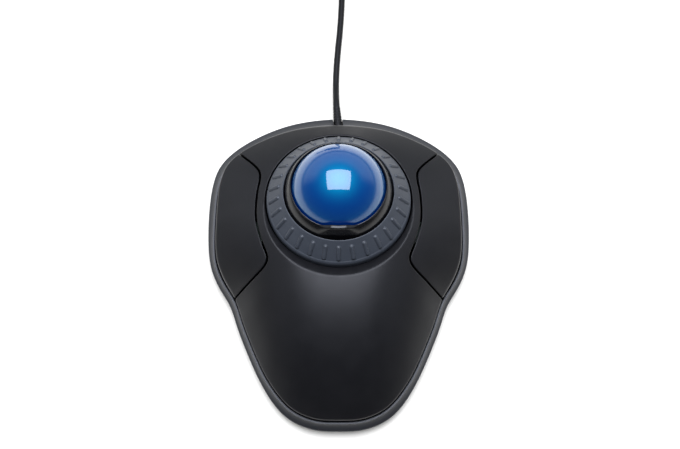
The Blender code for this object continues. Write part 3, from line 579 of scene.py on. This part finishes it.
def domed_plate(name, outer, hole, wall, underside, rings=()):
    """A closed shell under the cover's surface, with rounded edges. Loops are clockwise from above."""
    flat, drops, faces = [], [], []

    def rim(loop, sign):
        """Adds the loops down one edge, and returns the indices of the top and bottom ones."""
        size, levels = len(loop), edge_levels(sign)
        top = sum(len(part) for part in flat) + np.arange(size)
        for distance, drop in levels:
            flat.append(inset(loop, distance))
            drops.append(np.full(size, drop))
        faces.extend(tuple(top[0] + i for i in face) for face in skin(len(levels), size, closed=False))
        return top, top + size * (len(levels) - 1)

    rims = [rim(outer, 1)]
    if hole is not None:
        rims.append(rim(hole, -1))
    borders = [np.vstack(flat)[top] for top, _ in rims]
    points = np.vstack(borders + loose_points(borders, hole, rings))
    sides, start = [], 0
    for border in borders:
        sides += [(start + i, start + (i + 1) % len(border)) for i in range(len(border))]
        start += len(border)
    placed, _, triangles, sources, _, _ = delaunay_2d_cdt([Vector(p) for p in points], sides, [], 1, 1e-9)
    border_indices = np.concatenate([top for top, _ in rims])
    count = sum(len(part) for part in flat)
    index_of, extra = {}, []
    for new, olds in enumerate(sources):
        old = next((o for o in olds if o < len(border_indices)), None)
        if old is not None:
            index_of[new] = int(border_indices[old])
        else:
            index_of[new] = count + len(extra)
            extra.append(placed[new])
    middles = np.array([np.mean([placed[i] for i in face], axis=0) for face in triangles])
    wanted = ~is_inside(middles, borders[1]) if hole is not None else np.ones(len(triangles), bool)
    faces += [tuple(index_of[i] for i in face) for face, good in zip(triangles, wanted) if good]
    flat.append(np.array(extra).reshape(-1, 2))
    drops.append(np.zeros(len(extra)))
    flat, drops = np.vstack(flat), np.concatenate(drops)
    surface_height = cover_height(flat)
    steepness = cover_steepness(flat)
    top = surface_height - drops
    low = np.maximum(surface_height - np.minimum(wall * steepness, 3 * wall), underside)
    low = np.where(edge_distance(flat, cover_edge()) < 0.1 * MM, underside, low)
    low = np.minimum(low, top - 0.2 * MM)
    total = len(flat)
    closed = list(faces) + [tuple(total + i for i in reversed(face)) for face in faces]
    for _, bottom in rims:
        closed += [(a, b, total + b, total + a) for a, b in zip(bottom, np.roll(bottom, -1))]
    points = np.vstack([np.c_[flat, top], np.c_[flat, low]])
    return make_mesh(name, points, closed, 50)


def turned(name, profile, angles, lift=None, smooth_angle=40):
    """A closed profile of (radius, height) rows turned round Z. lift gives each point's rise."""
    along = np.roll(profile, -1, 0) - np.roll(profile, 1, 0)
    along /= np.linalg.norm(along, axis=1)[:, None]
    normals = np.c_[-along[:, 1], along[:, 0]]
    steps, size = len(angles), len(profile)
    shape = np.repeat(profile[None], steps, 0)
    if lift is not None:
        shape = shape + normals[None] * lift(angles)[:, :, None]
    radius, height = shape[:, :, 0], shape[:, :, 1]
    turn = np.asarray(angles)[:, None]
    points = np.stack([radius * np.cos(turn), radius * np.sin(turn), height], -1).reshape(-1, 3)
    return make_mesh(name, points, skin(steps, size), smooth_angle)


def corners(node):
    """The lowest and highest corners of a CAD node."""
    return [Vector(corner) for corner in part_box(node)]


def table_place(node):
    """Puts what is made at the origin on the table under a CAD node's middle."""
    low, high = corners(node)
    return Matrix.Translation(((low.x + high.x) / 2, (low.y + high.y) / 2, 0))


def full_circle(steps):
    """Evenly spaced angles round one turn."""
    return np.arange(steps) * 2 * math.pi / steps


# ---- cover and buttons

def button_line(shift):
    """The right parting line, moved by shift towards the outside."""
    path = smooth_path([np.array(point) * MM for point in BUTTON_LINE_MM], CURVE_STEPS)
    along = np.gradient(path, axis=0)
    along /= np.linalg.norm(along, axis=1)[:, None]
    return path + np.c_[-along[:, 1], along[:, 0]] * shift


def crossing(start, end, line):
    """Where the stretch from start to end meets the line."""
    step = end - start
    for a, b in zip(line, line[1:]):
        leg = b - a
        turn = step[0] * leg[1] - step[1] * leg[0]
        if turn == 0:
            continue
        offset = a - start
        t = (offset[0] * leg[1] - offset[1] * leg[0]) / turn
        u = (offset[0] * step[1] - offset[1] * step[0]) / turn
        if -1e-6 <= t <= 1 + 1e-6 and 0 <= u <= 1:
            return start + step * t
    return end


def cover_edge():
    """The foot of the cover's wall: beside the lip across the back, further in where the wall is upright."""
    offset = SEAM - HUB
    reach = np.linalg.norm(offset, axis=1)
    backwards = offset[:, 1] / reach
    leaning = smooth_blend(0.15, 0.55, backwards)
    further = np.maximum(0, by_direction(WALL_LEANS, backwards) - 0.1 * MM - SEAM_GAP) * (1 - leaning)
    return inset(SEAM - offset * (further / reach)[:, None], SEAM_GAP)


def split_edge(shift):
    """The cover's edge outside the right parting line, the rest of it, the line, and the two crossings."""
    edge = cover_edge()
    line = button_line(shift)
    zone = np.vstack([line, [(FAR_OUT, line[-1][1]), (FAR_OUT, line[0][1])]])
    outside = is_inside(edge, zone)
    first = next(i for i in range(len(edge)) if outside[i] and not outside[i - 1])
    count = int(outside.sum())
    order = (first + np.arange(len(edge))) % len(edge)
    arc, rest = edge[order[:count]], edge[order[count:]]
    start = crossing(rest[-1], arc[0], line)
    end = crossing(arc[-1], rest[0], line)
    clear = is_inside(line, edge) & (edge_distance(line, edge) > 0.25 * MM)
    return arc, rest, line[clear], start, end


def button_loop(side):
    arc, _, line, start, end = split_edge(BUTTON_GAP)
    loop = np.vstack([[start], arc, [end], line[::-1]])
    if side < 0:
        loop = (loop * (-1, 1))[::-1]
    return rounded(loop, LOOP_SPACING, 4)


def cover_loop():
    """The cover's outer loop: the seam at the back and front, and the two parting lines between them."""
    _, rest, line, start, end = split_edge(-BUTTON_GAP)
    right = rest[rest[:, 0] >= 0]
    back = right[right[:, 1] > 0]
    front = right[right[:, 1] <= 0]
    half = np.vstack([back[np.argsort(back[:, 0])], [start], line, [end], front[np.argsort(-front[:, 0])]])
    loop = np.vstack([half, (half * (-1, 1))[::-1][1:-1]])
    return rounded(loop, LOOP_SPACING, 4)


def hole_loop():
    """The hole for the scroll ring seen from above: a circle that the lean narrows from front to back."""
    angles = -full_circle(400)
    return HUB + np.c_[np.cos(angles), math.cos(LEAN) * np.sin(angles)] * HOLE_RADIUS


def make_cover(materials):
    rings = np.arange(1, 15) * 0.5 * MM
    mesh = domed_plate("cover_shell", cover_loop(), hole_loop(), WALL, GROOVE_FLOOR + GAP, rings)
    add_piece("cover_shell", mesh, materials["cover"], "case", "cover", "top_cover")


def make_buttons(materials):
    """The two button plates, each on its own body."""
    for word, side in (("left", -1), ("right", 1)):
        name = f"{word}_button_plate"
        mesh = domed_plate(name, button_loop(side), None, BUTTON_WALL, BUTTON_UNDERSIDE)
        add_piece(name, mesh, materials["cover"], f"{word}_button", "cover", f"button_{word}")


# ---- tray

def raised(loops, heights):
    """The points of flat loops of equal size, each at its height."""
    return np.vstack([np.c_[loop, np.full(len(loop), height)] for loop, height in zip(loops, heights)])


def stack(name, loops, heights, smooth_angle=40):
    """A solid skinned through loops of equal size, closed by a face at each end."""
    count, total = len(loops[0]), len(loops) * len(loops[0])
    faces = [tuple(range(count)), tuple(range(total - count, total))] + skin(len(loops), count, closed=False)
    return make_mesh(name, raised(loops, heights), faces, smooth_angle)


def circle(radius, steps):
    angles = -full_circle(steps)
    return np.c_[np.cos(angles), np.sin(angles)] * radius


def revolved(name, profile, steps=48, smooth_angle=40):
    """A solid of (radius, height) rows round Z, closed by a flat face at each end."""
    loops = [circle(radius, steps) for radius, _ in profile]
    return stack(name, loops, [height for _, height in profile], smooth_angle)


def cut(obj, cutters):
    """Cuts the meshes out of the object, and leaves nothing of them behind."""
    guides = [add_object("cutter", mesh) for mesh in cutters]
    for guide in guides:
        modifier = obj.modifiers.new("cut", "BOOLEAN")
        modifier.operation, modifier.solver, modifier.object = "DIFFERENCE", "EXACT", guide
    bpy.context.view_layer.update()
    evaluated = obj.evaluated_get(bpy.context.evaluated_depsgraph_get())
    mesh = bpy.data.meshes.new_from_object(evaluated)
    obj.modifiers.clear()
    obj.data = shaded(mesh, 35)
    for guide in guides:
        bpy.data.objects.remove(guide)


def make_tray(materials):
    """The slate tray: a floor, a flared skirt with a flat lip, and a groove that the cover stands in."""
    skirt = skirt_width(OUTLINE)
    flank = [(inwards, height) for inwards, height in np.array(TRAY_FLANK_MM) * MM]
    lip = [(skirt + inwards, RIM_LIP + height) for inwards, height in np.array(TRAY_LIP_MM) * MM]
    groove = [(skirt, GROOVE_FLOOR), (skirt + WALL, GROOVE_FLOOR), (skirt + WALL, FLOOR_TOP)]
    levels = flank + lip + groove
    loops, heights = [inset(OUTLINE, inwards) for inwards, _ in levels], [height for _, height in levels]
    mesh = stack("tray_shell", loops, heights, 35)
    tray = add_piece("tray_shell", mesh, materials["base"], "case", "base", "base_tray")
    radius = 2.3 * MM
    half = np.array([(math.cos(a), math.sin(a)) for a in np.linspace(math.pi, 2 * math.pi, 25)]) * radius
    notch = np.vstack([half, [(radius, 6 * MM), (-radius, 6 * MM)]])
    cutter = stack("notch", [notch, notch], [-11 * MM, 9 * MM])
    cutter.transform(relief_place() @ Matrix.Rotation(math.radians(90), 4, "X"))
    cutters = [cutter]
    for index in range(4):
        hole = revolved("hole", np.array(SCREW_HOLE_MM) * MM)
        hole.transform(table_place(f"case_screw_{index + 1}"))
        cutters.append(hole)
    cut(tray, cutters)


def make_painted_shade_strip(materials):
    """A near-black matte strip in the tray's groove under the cover's foot: painted shade, which darkens the
    groove.
    """
    skirt = skirt_width(OUTLINE)
    far = WALL / MM - 0.03
    rows = ((0.03, 0.02), (0.03, 0.35), (0.12, 0.42), (far - 0.12, 0.42), (far, 0.35), (far, 0.02),
            (0.03, 0.02))
    loops = [inset(OUTLINE, skirt + across * MM) for across, _ in rows]
    mesh = stack("painted_shade_strip", loops, [GROOVE_FLOOR + height * MM for _, height in rows], 35)
    add_piece("painted_shade_strip", mesh, materials["painted_shade"], "case", "inner")


# ---- ring, bezel and ball

def ring_profile():
    """The ring's section, and the rows where its cone starts and stops: a bead, the cone, a thin rim."""
    bead = (
        (22.75, -3.0), (22.75, 1.95), (22.78, 2.18), (22.87, 2.33), (23.0, 2.38), (23.14, 2.34),
        (23.28, 2.23),
    )
    cone_start, cone_end = np.array((23.4, 2.12)), np.array((29.3, -4.0))
    cone = cone_start + (cone_end - cone_start) * np.linspace(0, 1, 65)[:, None]
    rim = (
        (29.4, -4.1), (29.52, -4.13), (29.64, -4.22), (29.88, -4.48), (30.1, -4.78), (30.25, -5.1),
        (30.32, -5.5), (30.35, -7.4), (28.8, -7.4), (25.0, -2.7),
    )
    return np.vstack([bead, cone, rim]) * MM, len(bead), len(bead) + len(cone)


def make_scroll_ring(materials):
    """The conical ring with its raised, round-ended ribs."""
    profile, start, stop = ring_profile()
    offsets = np.array((0, 0.15, 0.3, 0.45, 0.6, 0.72, 0.82, 0.9, 0.96, 1.02, 1.4, 2.0)) / 27
    local = np.r_[-offsets[:0:-1], offsets]
    pitch = 2 * math.pi / RIBS
    angles = np.concatenate([-math.pi / 2 + rib * pitch + local for rib in range(RIBS)])
    cone = profile[start:stop]
    along = np.r_[0, np.cumsum(np.linalg.norm(np.diff(cone, axis=0), axis=1))]
    rib_end = along[-1] - RIB_HALF_WIDTH

    def lift(turns):
        nearest = (turns + math.pi / 2 + pitch / 2) % pitch - pitch / 2
        rise = np.zeros((len(turns), len(profile)))
        across = np.abs(nearest)[:, None] * cone[None, :, 0]
        beyond = np.maximum(0, np.maximum(RIB_START - along, along - rib_end))[None]
        distance = np.hypot(across, beyond)
        rise[:, start:stop] = RIB_HEIGHT * np.maximum(0, 1 - (distance / RIB_HALF_WIDTH) ** 2) ** 0.8
        return rise

    mesh = on_ball_axis(turned("ribbed_ring", profile, angles, lift, 50))
    add_piece("ribbed_ring", mesh, materials["ring"], "ring", "ring", "scroll_ring")


def make_bezel(materials):
    """The glossy collar round the ball. Its lip rises in a rounded lobe at the front."""
    plain = np.array((
        (19.42, 5.6), (19.40, 6.35), (19.46, 6.66), (19.58, 6.8), (19.76, 6.78), (20.1, 6.4), (20.6, 5.75),
        (21.2, 4.7), (21.75, 3.5), (22.05, 2.5), (22.25, 1.4), (22.33, 0.2), (22.35, -3.0), (20.5, -3.0),
        (20.42, 0.0), (20.16, 3.2),
    )) * MM
    lobe = np.array((
        (18.98, 6.9), (18.92, 7.6), (18.98, 8.1), (19.12, 8.4), (19.4, 8.52), (20.5, 8.34), (20.7, 8.12),
        (20.8, 7.5), (20.95, 6.0), (21.2, 4.4), (21.42, 2.8), (21.65, 1.0), (22.1, -3.0), (20.5, -3.0),
        (20.42, 0.0), (20.0, 3.2),
    )) * MM
    angles = full_circle(360)
    points = []
    for angle in angles:
        share = smooth_blend(LOBE_HALF_ANGLE, LOBE_FLAT_ANGLE, abs(angle - 1.5 * math.pi))
        section = plain + (lobe - plain) * share
        points += [(r * math.cos(angle), r * math.sin(angle), h) for r, h in section]
    mesh = on_ball_axis(make_mesh("bezel_collar", points, skin(len(angles), len(plain)), 50))
    add_piece("bezel_collar", mesh, materials["bezel"], "case", "bezel", "ball_bezel")


def make_ball(materials):
    """A ball of evenly sized faces: a finely divided cube pushed out to the radius."""
    mesh = bpy.data.meshes.new("pearl_ball")
    work = bmesh.new()
    bmesh.ops.create_cube(work, size=2)
    bmesh.ops.subdivide_edges(work, edges=work.edges, cuts=39, use_grid_fill=True)
    for vert in work.verts:
        x, y, z = (math.tan(value * math.pi / 4) for value in vert.co)
        vert.co = BALL_CENTRE + Vector((x, y, z)).normalized() * BALL_RADIUS
    bmesh.ops.recalc_face_normals(work, faces=work.faces)
    work.to_mesh(mesh)
    work.free()
    mesh.shade_smooth()
    add_piece("pearl_ball", mesh, materials["ball"], "ball", "ball", "trackball")


# ---- cable

def coil_path():
    """The wound part of the cable, from the bottom turn of the outer column to where the tail leaves.

    It winds inwards on one layer and outwards on the next. Steps to the next column or layer come a little
    earlier in each turn, so that no strand meets the one that it steps over.
    """
    first_step, sector, leave = math.radians(330), math.radians(34), math.radians(86)
    diameter = 2 * CABLE_RADIUS
    steps, turn, early = [], 0, 0
    for layer in range(COIL_LAYERS):
        way = -1 if layer % 2 == 0 else 1
        for _ in range(len(COIL_RADII) - 1):
            steps.append((2 * math.pi * turn + first_step - early * sector, way * diameter, 0))
            turn += 1
        if layer < COIL_LAYERS - 1:
            steps.append((2 * math.pi * turn + first_step - (early + 1) * sector, 0, diameter))
            turn += 1
            early += 2
    total = 2 * math.pi * turn + leave
    angles = np.linspace(0, total, round(total / math.radians(9)))
    radius = np.full(len(angles), COIL_RADII[0])
    height = np.full(len(angles), COIL_FIRST_HEIGHT)
    for centre, outwards, up in steps:
        share = smooth_blend(centre - sector / 2, centre + sector / 2, angles)
        radius += outwards * share
        height += up * share
    return np.c_[COIL_CENTRE.x + radius * np.cos(angles), COIL_CENTRE.y + radius * np.sin(angles), height]


def relief_place():
    """Puts what is made at the origin at the strain relief's inner end, turned the way the cable leaves."""
    return Matrix.Translation(RELIEF_START) @ Matrix.Rotation(RELIEF_TURN, 4, "Z")


def sleeve(name, rows, grooves, bore, steps=48):
    """A moulded sleeve round Z: (height, radius) rows outside, shallow grooves round it, and a plain bore."""
    heights = np.linspace(rows[0][0], rows[-1][0], 121)
    radii = np.interp(heights, [row[0] for row in rows], [row[1] for row in rows])
    for centre in grooves:
        radii -= 0.16 * MM * np.exp(-(((heights - centre) / (0.24 * MM)) ** 2))
    outside = np.c_[radii, heights]
    inside = np.array(((bore, heights[-1]), (bore, heights[0])))
    return turned(name, np.vstack([outside, inside])[::-1], full_circle(steps))


def make_relief(materials):
    """The ribbed sleeve that the cable leaves through."""
    end = RELIEF_LENGTH / MM
    rows = np.array(((0, 1.85), (0.15, 2.0), (0.45 * end, 1.98), (end - 0.3, 1.66), (end, 1.56))) * MM
    grooves = [4 * MM + 1.4 * MM * k for k in range(6)]
    mesh = sleeve("ribbed_relief", rows, grooves, CABLE_RADIUS + 0.01 * MM)
    mesh.transform(relief_place() @ Matrix.Rotation(math.radians(-90), 4, "X"))
    return add_piece("ribbed_relief", mesh, materials["cable"], "case", "cable", "strain_relief")


def rounded_box_loop(half_x, half_y, corner, steps=6):
    """A clockwise rectangle with round corners, as seen from above."""
    points = []
    for x, y, start in ((1, 1, 90), (1, -1, 0), (-1, -1, -90), (-1, 1, -180)):
        for step in range(steps + 1):
            turn = math.radians(start - 90 * step / steps)
            across = x * (half_x - corner) + corner * math.cos(turn)
            along = y * (half_y - corner) + corner * math.sin(turn)
            points.append((across, along))
    return np.array(points)


def lying_towards_front(mesh, x, y, z):
    """Turns a mesh made along Z to run towards -Y from the given point."""
    mesh.transform(Matrix.Translation((x, y, z)) @ Matrix.Rotation(math.radians(90), 4, "X"))
    return mesh


def make_plug_boot(materials, x, z):
    """The ribbed neck that the cable runs into."""
    low, high = corners("plug_neck")
    rows = ((0, 1.6 * MM), (0.3 * MM, 1.75 * MM), (high.y - low.y, 2.3 * MM))
    mesh = sleeve("plug_boot", rows, [1.2 * MM + 1.2 * MM * k for k in range(4)], CABLE_RADIUS + 0.01 * MM)
    lying_towards_front(mesh, x, high.y, z)
    return add_piece("plug_boot", mesh, materials["cable"], "case", "cable", "plug_neck")


def make_plug_grip(materials, x, z):
    """The moulded body, with rounded ends and four shallow grooves round it."""
    low, high = corners("plug_body")
    half_x, half_z = (high.x - low.x) / 2, (high.z - low.z) / 2
    end = (high.y - low.y) / MM
    rounding = (
        (0, 2.9), (0.1, 2.45), (0.3, 2.05), (0.7, 1.6), (1.3, 1.1), (2.2, 0.5), (3.2, 0.0),
        (end - 0.7, 0.0), (end - 0.3, 0.08), (end - 0.08, 0.3), (end, 0.6),
    )
    places, amounts = zip(*rounding)
    stations = np.r_[places[:7], np.arange(4.0, 12.05, 0.2), 13, 14, places[7:]]
    shrink = np.interp(stations, places, amounts)
    for centre in (5.2, 6.8, 8.4, 10.0):
        shrink += 0.3 * np.exp(-(((stations - centre) / 0.38) ** 2))
    loops = []
    for amount in shrink * MM:
        height = half_z - 0.8 * amount
        loops.append(rounded_box_loop(half_x - amount, height, min(1.9 * MM, 0.9 * height)))
    mesh = lying_towards_front(stack("plug_grip", loops, stations * MM), x, high.y, z)
    return add_piece("plug_grip", mesh, materials["cable"], "case", "cable", "plug_body")


def make_plug_sheath(materials, x, z):
    """The folded steel shell, open at its tip, with two windows in each broad face."""
    low, high = corners("plug_shell")
    length = high.y - low.y
    half_x, half_z = (high.x - low.x) / 2, (high.z - low.z) / 2
    wall, corner, floor = 0.35 * MM, 0.5 * MM, 0.8 * MM
    outer = rounded_box_loop(half_x, half_z, corner)
    inner = rounded_box_loop(half_x - wall, half_z - wall, corner - 0.25 * MM)
    tip = rounded_box_loop(half_x - 0.12 * MM, half_z - 0.12 * MM, corner)
    mesh = stack("plug_sheath", [outer, outer, tip, inner, inner],
                 [0, length - 0.15 * MM, length, length - 0.05 * MM, floor])
    lying_towards_front(mesh, x, high.y, z)
    sheath = add_piece("plug_sheath", mesh, materials["steel"], "case", "steel", "plug_shell")
    windows = []
    for side, face in ((-1, -1), (-1, 1), (1, -1), (1, 1)):
        loop = rounded_box_loop(1.15 * MM, 1.0 * MM, 0.15 * MM) + (side * 2.9 * MM, 0)
        heights = sorted((face * (half_z - 2 * wall), face * (half_z + wall)))
        window = stack("window", [loop, loop], heights)
        window.transform(Matrix.Translation((x, high.y - 6.4 * MM, z)))
        windows.append(window)
    cut(sheath, windows)
    return sheath


def make_plug_contacts(materials, x):
    """Four gold contacts under the tongue, the outer two longer."""
    low, high = corners("plug_tongue")
    work = bmesh.new()
    depth = high.y - low.y
    for index in range(4):
        long = depth * (0.82 if index in (0, 3) else 0.7)
        across = x + (index - 1.5) * 2.3 * MM
        size = Matrix.Diagonal((1.1 * MM, long, 0.12 * MM, 1))
        place = Matrix.Translation((across, high.y - 0.4 * MM - long / 2, low.z - 0.07 * MM))
        bmesh.ops.create_cube(work, size=1, matrix=place @ size)
    bmesh.ops.bevel(work, geom=work.edges[:], offset=0.04 * MM, segments=2, affect="EDGES")
    mesh = bpy.data.meshes.new("plug_contacts")
    work.to_mesh(mesh)
    work.free()
    return add_piece("plug_contacts", shaded(mesh, 40), materials["gold"], "case", "steel")


def make_plug(materials):
    """The USB-A plug, which lies on the table and points to the front."""
    low, high = corners("plug_neck")
    x, z = (low.x + high.x) / 2, (low.z + high.z) / 2
    return [make_plug_boot(materials, x, z), make_plug_grip(materials, x, z),
            make_plug_sheath(materials, x, z), make_plug_contacts(materials, x)]


def make_ties(materials):
    """Two flat hook-and-loop straps round the coil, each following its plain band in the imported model."""
    pieces = []
    inner_radius, outer_radius = COIL_RADII[-1] - CABLE_RADIUS, COIL_RADII[0] + CABLE_RADIUS
    middle, thickness, away = (inner_radius + outer_radius) / 2, 0.5 * MM, 0.4 * MM
    low, high, half, edge = 0.9 * MM, 13.0 * MM, 2 * MM, 0.12 * MM
    half_x, half_z = (outer_radius - inner_radius) / 2 + away, (high - low) / 2 + 0.3 * MM
    sizes = ((0, 0.8 * MM), (edge, 0.9 * MM), (thickness - edge, 1.2 * MM), (thickness, 1.3 * MM))
    loops = [rounded_box_loop(half_x + out, half_z + out, corner) for out, corner in sizes]
    loops += loops[::-1]
    heights = [-half + edge, -half, -half, -half + edge, half - edge, half, half, half - edge]
    for index, angle in enumerate((math.radians(195), math.radians(285))):
        name = f"strap_{index + 1}"
        mesh = make_mesh(name, raised(loops, heights), skin(len(loops), len(loops[0])))
        mesh.transform(Matrix.Translation(COIL_CENTRE + Vector((0, 0, (low + high) / 2)))
                       @ Matrix.Rotation(angle, 4, "Z") @ Matrix.Translation((middle, 0, 0))
                       @ Matrix.Rotation(math.radians(90), 4, "X"))
        pieces.append(add_piece(name, mesh, materials["strap"], "case", "rubber", f"cable_tie_{index + 1}"))
    return pieces


def make_cable(materials):
    """The whole cord, from the relief through the coil to the plug, and what rides on it."""
    run = smooth_path(np.array(CABLE_RUN_MM) * MM, 3)
    coil = coil_path()
    tail = smooth_path(np.vstack([coil[-1:], np.array(CABLE_TAIL_MM) * MM]), 3)[1:]
    path = np.vstack([run, coil, tail])
    curve = bpy.data.curves.new("cable", "CURVE")
    curve.dimensions = "3D"
    curve.bevel_depth = CABLE_RADIUS
    curve.bevel_resolution = 5
    curve.use_fill_caps = True
    spline = curve.splines.new("POLY")
    spline.points.add(len(path) - 1)
    for point, where in zip(spline.points, path):
        point.co = (*where, 1)
    nodes = ("cable_run", "cable_coil", "cable_tail")
    cable = add_piece("cable", curve, materials["cable"], "case", "cable", *nodes)
    on_it = [make_relief(materials), *make_plug(materials), *make_ties(materials)]


# ---- feet and plate underneath

def make_feet(materials):
    """Rubber feet with rounded edges and a shallow ring groove."""
    for index in range(4):
        low, high = corners(f"foot_{index + 1}")
        radius, top = (high.x - low.x) / 2 / MM, high.z / MM
        profile = (
            (1.0, 0.1), (2.6, 0.1), (2.75, 0.0), (radius - 0.5, 0.0), (radius - 0.2, 0.08),
            (radius - 0.05, 0.25), (radius, 0.5), (radius, top),
        )
        name = f"foot_pad_{index + 1}"
        mesh = revolved(name, np.array(profile) * MM, 64)
        mesh.transform(table_place(f"foot_{index + 1}"))
        add_piece(name, mesh, materials["rubber"], "case", "rubber", f"foot_{index + 1}")


def make_plate(materials):
    """The blank metal label under the tray, with a soft lower edge."""
    low, high = corners("label_plate")
    half_x, half_y = (high.x - low.x) / 2, (high.y - low.y) / 2
    edge = 0.08 * MM
    loops = [rounded_box_loop(half_x - away, half_y - away, 1.5 * MM) for away in (edge, 0, 0)]
    mesh = stack("blank_plate", loops, [low.z, low.z + edge, high.z])
    mesh.transform(table_place("label_plate"))
    add_piece("blank_plate", mesh, materials["label"], "case", "label", "label_plate")


# ---- assembly

def make_materials():
    """Every finish, by the record's slot names, with three more for pieces that have none."""
    return {
        "cover": surface("soft_touch_black", (0.004, 0.004, 0.0048), 0.42, grain=(0.35, 0.01),
                         smudge=(6, 0.03), mottle=(9, 0.05), Specular_IOR_Level=0.27),
        "base": surface("slate_plastic", (0.0105, 0.0118, 0.015), 0.4, grain=(0.3, 0.01),
                        mottle=(5, 0.05), Specular_IOR_Level=0.4),
        "ring": surface("ring_grey", (0.033, 0.038, 0.046), 0.42, grain=(0.25, 0.008),
                        mottle=(4, 0.05), Specular_IOR_Level=0.38),
        "bezel": surface("bezel_black", (0.004, 0.004, 0.0045), 0.24, smudge=(3, 0.04),
                         Specular_IOR_Level=0.38),
        "ball": surface("pearl_blue", (0.0, 0.011, 0.14), 0.5, IOR=2.4, Specular_Tint=(0.0, 0.5, 0.62, 1),
                        Coat_Weight=1.0, Coat_IOR=1.55, Coat_Roughness=0.03),
        "inner": surface("inner_black", (0.012, 0.012, 0.012), 0.6, grain=(0.3, 0.01)),
        # painted shade: near-black, matte and almost without gloss, for the strip that darkens the tray's
        # groove
        "painted_shade": surface("painted_shade_black", (0.003, 0.003, 0.003), 0.9, grain=(0.3, 0.01),
                          Specular_IOR_Level=0.05),
        "steel": surface("bright_steel", (0.62, 0.62, 0.64), 0.25, smudge=(2, 0.05), Metallic=1.0),
        "board": surface("circuit_green", (0.004, 0.03, 0.014), 0.4, mottle=(1.5, 0.2)),
        "chip": surface("chip_black", (0.015, 0.015, 0.015), 0.45, grain=(0.1, 0.005)),
        "lens": surface("clear_lens", (0.9, 0.92, 0.95), 0.05, smudge=(2, 0.02), Transmission_Weight=1.0),
        "rubber": surface("foot_rubber", (0.02, 0.02, 0.02), 0.8, grain=(0.3, 0.015)),
        "cable": surface("cable_black", (0.003, 0.003, 0.0034), 0.5, grain=(0.3, 0.006),
                         mottle=(4, 0.1), Specular_IOR_Level=0.2),
        "label": surface("label_silver", (0.45, 0.46, 0.48), 0.4, smudge=(1, 0.05), Metallic=0.6),
        "gold": surface("contact_gold", (0.78, 0.55, 0.2), 0.25, smudge=(1, 0.05), Metallic=1.0),
        "strap": surface("strap_black", (0.015, 0.015, 0.016), 0.75, grain=(0.25, 0.05),
                         mottle=(1, 0.2)),
        "white": surface("white_nylon", (0.7, 0.7, 0.68), 0.5, grain=(0.2, 0.005)),
    }


def paint_kept_nodes(materials):
    """CAD nodes that keep their own shape take their finish from the record's slot of the same name."""
    slots = {part["node"]: part["material_slot"] for part in frame["record"]["subparts"]}
    for name, obj in frame["nodes"].items():
        if not obj.hide_render:
            obj.data.materials.clear()
            obj.data.materials.append(materials[slots[name]])


materials = make_materials()
make_camera()
make_cable(materials)
make_floor()
make_world()
make_panel("overhead_softbox", azimuth=0, elevation=79.5, distance=0.9, size=(0.92, 0.8), power=19.5)
make_cover(materials)
make_buttons(materials)
make_tray(materials)
make_painted_shade_strip(materials)
make_scroll_ring(materials)
make_bezel(materials)
make_ball(materials)
make_side_panels()
make_feet(materials)
make_plate(materials)
paint_kept_nodes(materials)
